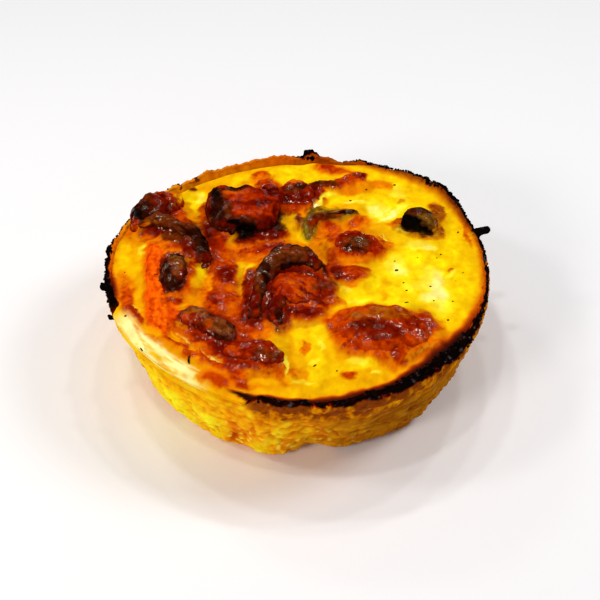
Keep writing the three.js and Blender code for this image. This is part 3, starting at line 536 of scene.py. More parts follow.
    ("rust", 9.2, 0.6, 1.6, 2.6, 0, 0.8), ("orange", 15, 0, 4.5, 1.8, 0, 0.9),
    ("rust", 10, -5, 2.6, 4, 0, 0.9), ("brick", 13.3, -5.8, 4.2, 2.8, -8, 0.95),
    ("maroon", 9.6, -6.4, 1.8, 2.6, 0, 0.85), ("rust", 13.6, -6, 3, 1.6, -8, 0.6),
    ("orange", 14, -10, 2.2, 1.3, 0, 0.7), ("chestnut", 6.6, -11.5, 3.2, 2.4, 0, 0.85),
    ("brick", 6.8, -14, 1.8, 1.3, 0, 0.7), ("orange", 7.8, -17, 2.2, 1, 0, 0.7),
    # hollow behind the mushroom slice: its olive and moss dabs are painted shade
    ("olive", 2.2, 16, 2.2, 6, -8, 0.9), ("moss", 5.8, 21.6, 4.0, 1.0, -4, 0.6),
    ("moss", 2.4, 20.6, 1.8, 1.6, 0, 0.6), ("gold", 8, 24.8, 4.5, 1.6, -10, 0.8),
    ("olive", 6.5, 23.3, 4, 1.1, -6, 0.4), ("pale", 6.2, 27, 4.8, 0.75, 58, 1.0),
    ("cream", 4.4, 24, 1.0, 0.8, 58, 1.0), ("gold", -2, 12, 2.2, 4.5, 10, 0.85),
    ("gold", -3, 17.4, 2.6, 4, 0, 0.95), ("rust", -3.4, 22.6, 2.4, 2, 0, 0.9),
    ("yellow", 0, 10, 1.4, 3.6, 30, 0.6), ("orange", 1, 22.6, 1.8, 3.2, 0, 0.8),
    # back right
    ("yellow", 13, 28.5, 6, 3, 5, 0.8), ("pale", 9, 30.2, 2.2, 1, 20, 0.8),
    ("pale", 17, 26.4, 3.4, 0.8, 5, 0.7), ("orange", 16.6, 34, 6.5, 3, 12, 0.85),
    ("amber", 19, 32, 3, 1.4, 20, 0.6), ("orange", 12.5, 36.4, 6.5, 2.6, 15, 0.9),
    ("brick", 9.6, 35.6, 5.6, 2.2, 8, 0.9), ("umber", 7, 35.8, 4.4, 1.8, 8, 0.95),
    ("rust", 14.6, 36.6, 2.6, 1.2, 60, 0.7),
    ("dark", 4.6, 35, 1.6, 1.8, 0, 0.85), ("maroon", 3.8, 33.8, 1.8, 1.2, 20, 0.8),
    ("rust", 16.6, 38.8, 3.2, 3, 30, 0.9),
    ("maroon", 17.4, 39, 1.8, 2.2, 30, 0.9), ("rust", 12, 37.4, 2.8, 1.7, 10, 0.8),
    ("orange", 23.6, 35, 2.8, 2.6, 0, 0.8), ("amber", 19.5, 33.5, 3, 2, 0, 0.6),
    ("orange", 9.5, 43.4, 5.6, 2.8, -12, 0.85), ("rust", 9, 43.6, 3.4, 2, -12, 0.8),
    ("brick", 8.6, 44, 1.8, 1.4, -20, 0.9),
    ("rust", 13, 42.4, 2.2, 1, -20, 0.6), ("butter", 2.5, 41.5, 3, 2.6, 0, 0.8),
    ("pale", 22.6, 22.6, 3.6, 4.4, 25, 0.95), ("cream", 21.6, 23.2, 1.6, 2.0, 20, 0.6),
    ("pale", 27.4, 21.5, 6.2, 1.4, 48, 0.95), ("cream", 25.4, 19.6, 4.4, 0.7, 44, 0.8),
    ("cream", 23.6, 21.4, 3.4, 0.45, 40, 0.6), ("cream", 15.6, 26.4, 3, 0.4, 12, 0.6),
    ("pale", 28.6, 31.5, 2.6, 3.8, 10, 0.8), ("gold", 24.5, 31.5, 2.4, 1.8, 0, 0.5),
    ("orange", 27.3, 16.4, 2.6, 1.3, 32, 0.95), ("tan", 29.5, 27, 1.4, 0.5, 50, 0.8),
    ("pale", 29, 13, 2, 1.2, -35, 0.7), ("butter", 37, 31.5, 4, 4, 0, 0.7),
    # Painted shadow: the amber and toast dabs on this line and the caramel dab on the next, to the
    # right of the mushroom chunk
    ("amber", 39.2, 20, 2.4, 5.6, 0, 0.9), ("toast", 39, 20.6, 1.9, 4.4, 0, 0.9),
    ("caramel", 38.8, 22.6, 2.2, 3.4, 10, 0.8), ("butter", 42.8, 16, 1.6, 5.5, 0, 0.7),
    ("rust", 44.6, 24, 1.2, 5, 20, 0.6), ("rust", 46.4, 12, 0.7, 6, 4, 0.6),
    ("caramel", 33, 40.4, 4, 1.0, -38, 0.5),
    ("gold", 18, 22, 1.4, 1.6, 0, 0.6), ("pale", 23.3, 9, 2.3, 0.3, -55, 1.0),
]
LIP_DABS = [("orange", -20.4, -45.4, 4.2, 2.6, -35, 0.8), ("rust", -20, -45.8, 3.0, 1.9, -38, 1.0)]

# Looks of each piece: colour beneath the dabs, heights of its blisters, wrinkles and grain in
# millimetres, how glossy it is, and its dabs as for the custard
LOOKS = {
    "roast_cap": ("umber", 0.4, 0.4, 0.12, 0.9, [
        ("dark", -45.6, 22, 2.6, 4.6, -14, 0.8), ("black", -46, 21, 1.4, 2.6, 0, 0.7),
        ("maroon", -41, 22.8, 2, 5, 20, 0.8), ("maroon", -42.6, 29.6, 3, 1.2, 60, 0.6),
        ("dark", -42, 24, 3, 2, 30, 0.5),
        ("maroon", -38.4, 25, 7, 2.6, -62, 0.8), ("rust", -35.8, 24.4, 9, 1.7, -62, 0.95),
        ("amber", -33.6, 25.6, 9, 1.7, -62, 0.95), ("butter", -32, 28, 3, 5, 22, 0.9),
        ("rust", -39.6, 32, 4, 1.6, -12, 0.9), ("orange", -37, 31.6, 2, 1.2, -20, 0.8),
        ("brick", -47.6, 16.6, 1.8, 3, 0, 0.9), ("orange", -46.5, 13.6, 3, 1.6, 20, 0.9),
    ]),
    "arched_strip": ("umber", 0.45, 0.4, 0.12, 0.9, [
        ("toast", -41.5, 17.6, 3, 1.1, -12, 0.6), ("chestnut", -36, 17, 3, 1, -30, 0.6),
        ("black", -26.6, 9.4, 5.5, 0.9, -62, 0.85), ("chestnut", -30.6, 10.4, 3.4, 0.8, -46, 0.6),
        ("umber", -40, 19.6, 3.4, 1.4, -15, 0.6), ("umber", -35.4, 16, 3.2, 1.4, -30, 0.8),
        ("dark", -31, 12.4, 4.6, 1.7, -42, 0.9), ("dark", -26.6, 6, 1.5, 4.8, 18, 0.9),
        ("umber", -36, 14.6, 4, 1.2, -24, 0.8),
        ("maroon", -25.4, -0.5, 1.8, 4, 0, 0.9), ("maroon", -29.4, 6.4, 1.2, 3, 24, 0.8),
        ("maroon", -41.5, 13, 2.4, 1.4, 10, 0.8), ("orange", -43.4, 15.5, 1.4, 1.2, 0, 0.8),
    ]),
    "orange_slab": ("scarlet", 0.0, 0.15, 0.08, 0.4, [
        ("rust", -41.6, 6, 1.4, 4.4, 4, 0.8), ("rust", -39.3, -2.6, 1.1, 1.8, 0, 0.25),
        ("orange", -36.4, -10, 1.0, 12, 4, 0.6), ("rust", -39.2, -17, 0.9, 8, 4, 0.5),
        ("orange", -36, -23.5, 3.4, 4, 0, 0.6),
    ]),
    "dark_nub": ("chestnut", 0.4, 0.4, 0.12, 0.9, [
        ("olive", -33.2, 1.2, 2, 1.4, 0, 0.6), ("toast", -32.6, -2, 1.2, 1.4, 0, 0.5),
        ("dark", -33.6, -9.6, 2.4, 3, 0, 0.8), ("dark", -35.8, -4, 1.1, 4, 0, 0.8),
        ("maroon", -30.8, -7, 1.3, 4.5, 0, 0.85),
    ]),
    "roast_block": ("brick", 0.25, 0.5, 0.2, 0.5, [
        ("rust", -18, 30.4, 5, 3, 0, 0.7), ("orange", -19.4, 32, 4, 1.2, 4, 0.5),
        ("rust", -10.4, 22, 4.4, 2, 0, 0.6), ("rust", -15, 21.6, 4, 1.2, 0, 0.6),
        ("maroon", -13, 26.8, 6, 0.9, 4, 0.6), ("maroon", -17.6, 24, 3, 0.7, -10, 0.5),
        ("umber", -22.4, 22.5, 3, 8, 6, 0.95), ("dark", -24.4, 24, 2.4, 9, 4, 0.95),
        ("dark", -24.6, 29.4, 1.5, 4.5, -8, 0.9), ("maroon", -27.4, 21, 1.4, 5.5, 0, 0.9),
        ("black", -24.8, 31.4, 0.9, 2.6, -8, 0.8), ("dark", -19.4, 33.6, 4.6, 1.1, 4, 0.9),
        ("maroon", -14, 27, 8, 1.3, 2, 0.8),
        ("maroon", -13.5, 16.6, 8, 2.8, -2, 0.95), ("umber", -16.5, 18.2, 5, 1.4, -8, 0.85),
        ("maroon", -9.6, 12.6, 4.6, 4, 0, 0.97), ("maroon", -22.4, 13.6, 3.4, 4.8, -20, 0.97),
        # Painted shade: the two black dabs on the next line darken the block's underside over the
        # hollow beneath its lip
        ("black", -15.6, 11.8, 3.2, 4.8, 0, 1.0), ("black", -19, 16.6, 2.2, 1.2, -20, 0.95),
        ("dark", -18.4, 34.4, 3, 1.1, -14, 0.95), ("brick", -9, 31.6, 3.6, 2.8, 0, 0.9),
        ("maroon", -8.8, 31.4, 2.2, 1.8, 0, 0.95), ("maroon", -6.8, 23, 0.9, 4.4, 0, 0.8),
    ]),
    "glazed_bead": ("maroon", 0.12, 0.15, 0.05, 1.0, [
        ("dark", -11.4, 31.4, 1.2, 2.6, 0, 0.8),
        ("brick", -9.4, 34.6, 2.8, 0.9, 0, 0.8), ("rust", -12, 31, 0.8, 2, 0, 0.7),
        ("rust", -6.4, 31, 0.8, 2, 0, 0.7),
    ]),
    "browned_peak": ("brick", 0.3, 0.35, 0.12, 0.8, [
        ("umber", -2.2, 33, 2.8, 2.2, 20, 0.9), ("dark", 0, 35.2, 1.8, 1.5, 0, 0.9),
        ("maroon", -0.8, 30.6, 4.6, 1.8, 14, 0.9), ("rust", -0.4, 27.4, 4, 1.2, 0, 0.8),
        ("orange", -1, 25.4, 4.2, 1.4, 0, 0.8), ("orange", -2.4, 38.4, 5, 1.5, 0, 0.85),
    ]),
    "mushroom_slice": ("bark", 0.0, 0.25, 0.1, 0.6, [
        # Painted shade: the olive dab on the next line darkens the slice's left end, by the hollow
        # behind it
        ("olive", 1.4, 13, 1.0, 4, 0, 0.8), ("dark", 9, 20.8, 4, 0.7, 18, 0.8),
        ("rust", 9.4, 18.4, 5, 1.2, 18, 0.9), ("dark", 13, 21, 3.4, 1.0, 13, 1.0),
        ("tan", 11.5, 22.3, 3.8, 0.4, 16, 0.7), ("umber", 6.4, 18.6, 3.6, 1.6, 15, 0.9),
        ("brick", 5.8, 16.8, 2.6, 1.6, 0, 0.8),
    ]),
    "olive_cap": ("brick", 0.3, 0.35, 0.1, 0.9, [
        ("umber", 15.2, 7, 4.1, 3, 0, 0.95), ("rust", 13.2, 7.6, 1.0, 1.8, 0, 0.4),
        ("moss", 16.6, 8, 1.8, 1.2, -10, 0.4), ("dark", 15.5, 4.8, 3.6, 1.1, -5, 0.8),
        ("maroon", 14.6, 10.8, 4, 0.9, 0, 0.9), ("rust", 9.6, 6, 0.9, 3, 0, 0.7),
    ]),
    "curled_strip": ("umber", 0.5, 0.4, 0.12, 0.9, [
        ("chestnut", -1, 3, 3.6, 1.2, 0, 0.6), ("maroon", 3.6, 0.4, 2, 2.6, 0, 0.7),
        # Painted shadow: the dark and maroon dabs on the next line darken the front face under the
        # curl's arch
        ("dark", -2.2, -2.8, 5, 1.2, 4, 0.9), ("maroon", -1, -5.8, 6.4, 1.7, 0, 1.0),
        ("dark", -9.6, -6, 1.6, 6, 5, 0.85), ("maroon", -12.6, -18, 1.6, 9, 0, 0.95),
        ("brick", -11.4, -23.5, 1.4, 3.4, 0, 0.8), ("brick", 4.6, -5, 1.2, 3, 0, 0.8),
        ("brick", -4.6, 5, 2.4, 1.2, 20, 0.5), ("dark", -6.8, 4.4, 3.4, 1.0, 48, 0.8),
        ("dark", 0, 7.0, 3.6, 1.0, -8, 0.8),
    ]),
    "curl_flesh": ("rust", 0.2, 0.45, 0.18, 0.7, [
        ("orange", 1.4, -13.4, 2.2, 2.6, 0, 0.6), ("brick", -5, -12, 3.6, 7, 0, 0.6),
        ("maroon", -1, -9, 4, 0.5, -20, 0.7), ("maroon", 0.5, -15.6, 3, 0.4, -40, 0.8),
        ("maroon", -7.8, -15, 1.3, 4.4, 0, 0.8), ("maroon", 2.6, -13.4, 3.8, 0.55, -48, 0.95),
        ("chestnut", 6.8, -11.4, 3.2, 2.3, 0, 0.9), ("brick", 6.6, -14, 2.2, 1.2, 0, 0.8),
        ("orange", 1, -18, 4, 0.9, -8, 0.7), ("orange", -2.5, -9, 2.6, 1, -20, 0.6),
    ]),
    "inner_strip": ("maroon", 0.35, 0.35, 0.12, 0.9, [
        ("umber", -4.8, -17.6, 1.5, 1.6, 0, 0.7), ("dark", -5, -22.5, 1.1, 3.2, 10, 0.8),
        ("brick", -6.6, -25, 0.9, 3, 8, 0.7),
    ]),
    "red_bar": ("brick", 0.15, 0.25, 0.1, 0.9, [
        ("maroon", 0.6, -21.6, 4, 1.0, 0, 0.9), ("rust", 1, -23.6, 4, 0.6, 0, 0.5),
    ]),
    "glazed_chunk_left": ("chestnut", 0.4, 0.35, 0.12, 1.0, [
        ("rust", -29.4, -24.2, 1.8, 3, 0, 0.9), ("toast", -27, -21.4, 3, 1.2, -10, 0.5),
        ("brick", -27, -24.6, 1.8, 2.4, 0, 0.7), ("bark", -19.8, -27, 2.6, 2, -30, 0.5),
        ("dark", -21, -31, 3.2, 1.6, -20, 0.85), ("rust", -23.6, -26.4, 1, 2.4, 15, 0.6),
        ("dark", -16.6, -26, 1.3, 3, 40, 0.6), ("maroon", -23.6, -29, 2, 1.6, -40, 0.7),
    ]),
    "glazed_chunk_mid": ("brick", 0.38, 0.35, 0.12, 1.0, [
        ("chestnut", -8.2, -37, 3.4, 2.4, -15, 0.7), ("umber", -5.4, -37, 1.6, 2, -20, 0.6),
        ("rust", -14.6, -37, 3, 1.6, -20, 0.7), ("maroon", -12, -40, 4, 1.4, -20, 0.7),
        ("orange", -17.4, -35, 1.4, 1, 0, 0.5), ("brick", -6, -40.8, 2.4, 0.9, 10, 0.7),
    ]),
    "browned_lump": ("rust", 0.3, 0.25, 0.1, 0.9, [
        ("caramel", 20, -21.4, 10.5, 2.4, 2, 0.9), ("rust", 13, -20, 5, 1.2, 6, 0.6),
        ("maroon", 18.6, -27.6, 7, 4, 0, 0.8), ("dark", 16, -26, 4, 1.6, 0, 0.25),
        ("orange", 7.8, -27, 1.8, 6, 0, 0.9), ("brick", 11.4, -28.6, 1.6, 3.4, 0, 0.7),
        ("brick", 30, -26, 3.2, 4.6, 0, 0.9), ("maroon", 29, -24.6, 2, 2.4, 0, 0.6),
        ("orange", 31, -32.4, 3.4, 1.4, 20, 0.7),
        ("rust", 17, -33.4, 7, 1.6, 0, 0.9), ("orange", 14, -36, 6, 1.2, 0, 0.9),
        ("gold", 13, -38.4, 6, 1, 0, 0.8), ("brick", 24, -33.6, 2.2, 2, 0, 0.7),
    ]),
    "mushroom_chunk": ("black", 0.0, 0.2, 0.1, 0.6, [
        ("umber", 32.6, 22, 3.8, 2.4, 0, 0.85), ("bark", 35, 19.6, 2.2, 2, -30, 0.85),
        ("bark", 36.2, 16, 1.6, 4.4, 24, 0.9), ("black", 31.2, 14.8, 3.6, 4.2, 35, 1.0),
        ("olive", 35.4, 17.4, 0.6, 4, 30, 0.5), ("toast", 38.4, 16, 1.1, 6, 10, 0.9),
        ("gold", 38.8, 12, 1.6, 2.6, 20, 0.9),
    ]),
}

# Materials: see baked_material for what each value says
SLOTS = {
    "pastry": dict(
        grain=1.8, grain_depth=0.1, blister=0.04, oil=1.4, rough=(0.5, 0.15),
        specular=(0.0, 0.03), mottle=0.08,
    ),
    "egg_custard": dict(
        grain=0.9, grain_depth=0.12, blister=0.36, oil=2.4, rough=(0.3, 0.12),
        specular=(0.0, 0.8), mottle=0.06, subsurface=0.05,
    ),
    "browned_filling": dict(
        grain=0.9, grain_depth=0.26, blister=0.36, oil=2.2, rough=(0.5, 0.1),
        specular=(0.0, 1.0), mottle=0.25,
    ),
    "dark_filling": dict(
        grain=0.9, grain_depth=0.26, blister=0.36, oil=2.2, rough=(0.5, 0.1),
        specular=(0.0, 1.0), mottle=0.25,
    ),
    "orange_filling": dict(
        grain=0.8, grain_depth=0.2, blister=0.2, oil=1.1, rough=(0.4, 0.15),
        specular=(0.0, 0.5), mottle=0.12,
    ),
    "red_filling": dict(
        grain=0.8, grain_depth=0.22, blister=0.3, oil=1.2, rough=(0.4, 0.1),
        specular=(0.0, 0.8), mottle=0.2,
    ),
}
# How much larger folds and mottling are than the grain
COARSER = 1 / 0.45
# How far light spreads in the egg: shares of red, green and blue, and millimetres
EGG_GLOW = (1.0, 0.5, 0.12)
EGG_DEPTH = 1.5
# Noise at which an oily spot begins and is full
OILY = (0.545, 0.61)
# Tint of the glints, warm as on a fatty brown skin
GLINT_TINT = (1.0, 0.86, 0.66, 1)
# A turn that keeps the grid of the noise from lining up with the object
TILT = np.array([[0.64, 0.48, -0.6], [-0.6, 0.8, 0.0], [0.48, 0.36, 0.8]])
# Stretches of the noise: along the wall's height, and into flat leaves
UPRIGHT = np.array([1, 1, 0.45])
LEAVES = np.array([0.3, 0.3, 1.0])

# Studio: camera, lamps small enough to give the greasy skin glints (name, place, size, power,
# share of blue), light from all round, and a pale floor
CAMERA_ELEVATION = 41.0
CAMERA_LENS = 64.26
SENSOR_WIDTH = 36
LAMPS = [
    ("back_left", (-150, 180, 600), 46, 0.36, 1.0), ("back_right", (190, 220, 610), 46, 0.36, 1.0),
    ("top_left", (-120, -110, 620), 46, 0.38, 1.0), ("back", (40, 280, 620), 46, 0.32, 1.0),
    ("key", (-420, -40, 420), 90, 0.48, 1.0), ("front_left", (-380, -420, 330), 160, 1.35, 0.88),
    ("right", (520, 100, 560), 260, 1.9, 1.0), ("low_back", (-260, 330, 380), 80, 0.24, 1.0),
]
LAMP_AIM = (0, 0, 20)
FILL_STRENGTH = 0.2
FLOOR_REACH = 1500
FLOOR_CLOUDS = 250
FLOOR_TONES = [(0.95, 0.945, 0.955, 1), (0.98, 0.975, 0.985, 1)]


def clamp01(value):
    return np.clip(value, 0.0, 1.0)


def smooth01(value):
    u = clamp01(value)
    return u * u * (3 - 2 * u)


def ramp(value, start, full):
    """0 on the start side, 1 on the full side, smooth between them."""
    return smooth01((value - start) / (full - start))


def within(degrees, span):
    """1 between the middle two of four directions, fading to 0 at the outer two."""
    begin, full, fading, end = span
    return ramp(degrees, begin, full) * ramp(degrees, end, fading)


def mix(a, b, share):
    return a + (b - a) * share


def bake(colours, tone, share):
    """Mixes as layers of brown do, so that yellow turns dark through orange and red."""
    share = np.asarray(share)[:, None]
    return np.maximum(colours, 1e-4) ** (1 - share) * np.maximum(tone, 1e-4) ** share


def linear(rgb):
    """sRGB colour of 0 to 255, or an array of them, as linear light."""
    share = np.asarray(rgb, float) / 255
    return np.where(share <= 0.04045, share / 12.92, ((share + 0.055) / 1.055) ** 2.4)


def palette(name):
    """Named colour as linear light."""
    return linear(PALETTE[name])


def graded(share, stops):
    """Colours between stops, each a share and an sRGB colour or the name of one."""
    places = [place for place, _ in stops]
    colours = linear([PALETTE[look] if isinstance(look, str) else look for _, look in stops])
    return np.stack([np.interp(share, places, colours[:, c]) for c in range(3)], -1)


# ---------------------------------------------------------------- noise

def lattice(i, j, k, seed):
    """A random value from 0 to 1 for each corner of a grid, the same at every call."""
    n = np.sin(i * 127.1 + j * 311.7 + k * 74.7 + seed * 19.19) * 43758.5453
    return n - np.floor(n)


def noise(points, size, seed=0):
    """Smooth noise from -1 to 1 whose features are about size millimetres across."""
    q = np.asarray(points, float) / size
    cell = np.floor(q)
    u, v, w = np.moveaxis(smooth01(q - cell), -1, 0)
    i, j, k = np.moveaxis(cell, -1, 0)

    def edge(b, c):
        return mix(lattice(i, j + b, k + c, seed), lattice(i + 1, j + b, k + c, seed), u)

    return mix(mix(edge(0, 0), edge(1, 0), v), mix(edge(0, 1), edge(1, 1), v), w) * 2 - 1


def weighted(sheets, fall):
    """Mean of several sheets of noise, each counting less than the one before."""
    weights = [fall ** number for number in range(len(sheets))]
    return sum(weight * sheet for weight, sheet in zip(weights, sheets)) / sum(weights)


def layered(points, size, layers=4, seed=0, fall=0.55):
    """Several sizes of noise in one, from -1 to 1."""
    sheets = []
    for layer in range(layers):
        points = points @ TILT
        sheets.append(noise(points, size / 2.03 ** layer, seed + layer))
    return weighted(sheets, fall)


def crests(points, size, layers=3, seed=0, fall=0.5):
    """Sharp ridged noise, 0 in the hollows to 1 on the ridges."""
    sheets = []
    for layer in range(layers):
        points = points @ TILT
        sheets.append((1 - np.abs(noise(points, size / 2.1 ** layer, seed + 31 * layer))) ** 2)
    return weighted(sheets, fall)


def blisters(points, size, seed=0):
    """Round bumps: 1 at the middle of each, 0 between them."""
    q = np.asarray(points, float) / size
    cell = np.floor(q)
    nearest = np.full(q.shape[:-1], 9.0)
    for step in np.ndindex(3, 3, 3):
        corner = cell + np.array(step) - 1
        i, j, k = np.moveaxis(corner, -1, 0)
        jitter = [lattice(i, j, k, seed + s) for s in (0, 7, 13)]
        centre = corner + np.stack(jitter, -1)
        nearest = np.minimum(nearest, ((q - centre) ** 2).sum(-1))
    return clamp01(1 - nearest / 0.5)


# ---------------------------------------------------------------- plan of the shell

def oval_square(oval, x, y):
    """Square of how far places are from the middle of an oval: 1 on its outline."""
    cx, cy, half_length, half_width, turn = oval
    c, s = math.cos(turn * DEGREE), math.sin(turn * DEGREE)
    along = ((x - cx) * c + (y - cy) * s) / half_length
    across = ((y - cy) * c - (x - cx) * s) / half_width
    return along * along + across * across


def turn_between(start, end):
    return (end - start + 180) % 360 - 180


def near_direction(degrees, centre, half_width):
    return smooth01(1 - np.abs(turn_between(degrees, centre)) / half_width)


def round_table(table, degrees):
    """Value between the stations of a table that goes once round the shell."""
    degrees = np.asarray(degrees, float)
    value = np.zeros(degrees.shape)
    for (start, here), (end, there) in zip(table, table[1:] + table[:1]):
        span = (end - start) % 360
        step = (degrees - start) % 360
        value = np.where(step < span, mix(here, there, smooth01(step / span)), value)
    return value


def directions(points):
    """Degrees counter-clockwise from +X at which points are seen from the axis."""
    return np.arctan2(points[..., 1], points[..., 0]) / DEGREE


def overflow(degrees):
    """1 where the lip is sunk and the custard has run over it, 0 all round otherwise."""
    away = np.abs(turn_between(degrees, OVERFLOW_MIDDLE))
    return smooth01((OVERFLOW_HALF - away) / OVERFLOW_EASE)


def rim_radius(degrees):
    t = degrees * DEGREE
    twofold = -0.008 * np.cos(2 * t) - 0.002 * np.sin(2 * t)
    threefold = -0.02 * np.cos(3 * t) + 0.008 * np.sin(3 * t)
    return RIM_RADIUS * (1 + twofold + threefold)


def foot_radius(degrees):
    t = degrees * DEGREE
    radius = BASE_RADIUS * (1 + 0.004 * np.cos(2 * t) + 0.011 * np.sin(2 * t))
    for centre, half_width, outward in FOOT_LOBES:
        radius = radius + outward * near_direction(degrees, centre, half_width)
    return radius


def on_circle(degrees, radius, z):
    t = degrees * DEGREE
    return np.stack(np.broadcast_arrays(radius * np.cos(t), radius * np.sin(t), z), -1)


def crest_height(degrees):
    crags = CREST_RELIEF * noise(on_circle(degrees, RIM_RADIUS, 0.5 * CREST_GRAIN), CREST_GRAIN)
    height = RIM_HEIGHT + crags * (1 - overflow(degrees)) - OVERFLOW_DEPTH * overflow(degrees)
    for centre, half_width, up in CREST_BITS:
        height = height + up * near_direction(degrees, centre, half_width)
    return height


def wall_radius(degrees, z):
    """Outside of the wall: it leans out, bulges and stands out a little below the crest."""
    share = clamp01(z / RIM_HEIGHT)
    lean = mix(foot_radius(degrees), rim_radius(degrees), share)
    swell = np.sin(np.pi * share)
    ripple = WALL_RELIEF * noise(on_circle(degrees, RIM_RADIUS, z), WALL_GRAIN)
    above = z - LEDGE_HEIGHT
    ledge = smooth01(above / LEDGE_RISE) * (1 - smooth01(2 * above / LEDGE_BAND - 1))
    return lean + swell * (WALL_BULGE + ripple) + LEDGE_DEPTH * (ledge - share / 2)


def inner_radius(degrees, z):
    crest_edge = rim_radius(degrees) - round_table(CREST_WIDTHS, degrees)
    return mix(BASE_RADIUS - WALL_THICKNESS, crest_edge, clamp01(z / RIM_HEIGHT))


def shoulder_radius(degrees):
    """Radius on the crest up to which the custard's edge may cling."""
    return rim_radius(degrees) - (1 - CLING_COVER) * round_table(CREST_WIDTHS, degrees)


# ---------------------------------------------------------------- meshes

def ring_faces(rings, columns):
    """Quads of a stack of closed rings, numbered ring by ring."""
    ring, column = np.meshgrid(np.arange(rings - 1), np.arange(columns), indexing="ij")
    here = ring * columns + column
    beside = ring * columns + (column + 1) % columns
    return np.stack([here, beside, beside + columns, here + columns], -1).reshape(-1, 4)


def cap_faces(first, columns, pole, flip):
    """Triangles between a closed ring and its pole."""
    column = np.arange(columns)
    here = first + column
    beside = first + (column + 1) % columns
    order = [beside, here] if flip else [here, beside]
    return np.stack(order + [np.full(columns, pole)], -1)


def closed_stack(rings, start, end):
    """Points and faces of a stack of rings that ends in a pole on both sides."""
    count, columns = rings.shape[:2]
    points = np.concatenate([rings.reshape(-1, 3), [start], [end]])
    quads = ring_faces(count, columns)
    bottom = cap_faces(0, columns, count * columns, True)
    top = cap_faces((count - 1) * columns, columns, count * columns + 1, False)
    return points, quads, np.concatenate([bottom, top])


def grid_normals(rings):
    """Outward directions at the points of a stack of closed rings."""
    round_step = np.roll(rings, -1, 1) - np.roll(rings, 1, 1)
    along_step = np.gradient(rings, axis=0)
    normals = np.cross(round_step, along_step)
    length = np.linalg.norm(normals, axis=-1, keepdims=True)
    return normals / np.maximum(length, 1e-9)


def signed_volume(points, face_sets):
    """Six times the volume inside, below zero if the faces point inwards."""
    total = 0.0
    for faces in face_sets:
        a = points[faces[:, 0]]
        for n in range(1, faces.shape[1] - 1):
            total += (a * np.cross(points[faces[:, n]], points[faces[:, n + 1]])).sum()
    return total


def add_mesh(name, points, face_sets, smooth=True):
    """A mesh object from millimetre points, with its faces turned to point outwards."""
    faces = [face for faces in face_sets for face in faces.tolist()]
    mesh = bpy.data.meshes.new(name)
    mesh.from_pydata((np.asarray(points) * MM).tolist(), [], faces)
    mesh.validate()
    if signed_volume(points, face_sets) < 0:
        mesh.flip_normals()
    mesh.polygons.foreach_set("use_smooth", [smooth] * len(mesh.polygons))
    piece = bpy.data.objects.new(name, mesh)
    bpy.context.scene.collection.objects.link(piece)
    return piece


def paint(piece, colours, gloss):
    """Stores the colour of each point, linear, and how glossy it is."""
    colours = np.asarray(colours, np.float32)
    rgba = np.concatenate([colours, np.ones((len(colours), 1), np.float32)], 1)
    layer = piece.data.attributes.new("paint", "FLOAT_COLOR", "POINT")
    layer.data.foreach_set("color", np.clip(rgba, 0, 1).ravel())
    shine = piece.data.attributes.new("gloss", "FLOAT", "POINT")
    shine.data.foreach_set("value", np.asarray(np.broadcast_to(gloss, len(colours)), np.float32))


# ---------------------------------------------------------------- materials

def node(tree, kind, **values):
    """A new node with those of its sockets or settings set."""
    made = tree.nodes.new(kind)
    for name, value in values.items():
        if name in made.inputs:
            made.inputs[name].default_value = value
        else:
            setattr(made, name, value)
    return made


def ranged(tree, source, start, end, low, high):
    """Maps what comes out of a socket from start..end to low..high."""
    made = node(tree, "ShaderNodeMapRange")
    for name, value in zip(("From Min", "From Max", "To Min", "To Max"), (start, end, low, high)):
        made.inputs[name].default_value = value
    tree.links.new(source, made.inputs["Value"])
    return made.outputs["Result"]


def combined(tree, operation, a, b):
    """Sum, product or the like of what comes out of two sockets."""
    made = node(tree, "ShaderNodeMath", operation=operation)
    tree.links.new(a, made.inputs[0])
    tree.links.new(b, made.inputs[1])
    return made.outputs["Value"]


def texture(tree, kind, output, size, **values):
    """What comes out of a texture with features about size millimetres across."""
    place = node(tree, "ShaderNodeTexCoord")
    made = node(tree, kind, Scale=1 / (size * MM), **values)
    tree.links.new(place.outputs["Object"], made.inputs["Vector"])
    return made.outputs[output]


def crinkled(tree, gloss, grain, depth, blister):
    """Normals of a grained skin that is crinkled where it is glossy."""
    fine = texture(tree, "ShaderNodeTexNoise", "Fac", grain, Detail=1.0, Roughness=0.4)
    folds = texture(
        tree, "ShaderNodeTexVoronoi", "Distance", COARSER * grain, feature="SMOOTH_F1"
    )
    shrivelled = combined(tree, "MULTIPLY", folds, gloss)
    lowered = ranged(tree, shrivelled, 0, 1, 0, -blister / depth)
    bump = node(tree, "ShaderNodeBump", Strength=1.0, Distance=depth * MM)
    tree.links.new(combined(tree, "ADD", fine, lowered), bump.inputs["Height"])
    return bump.outputs["Normal"]


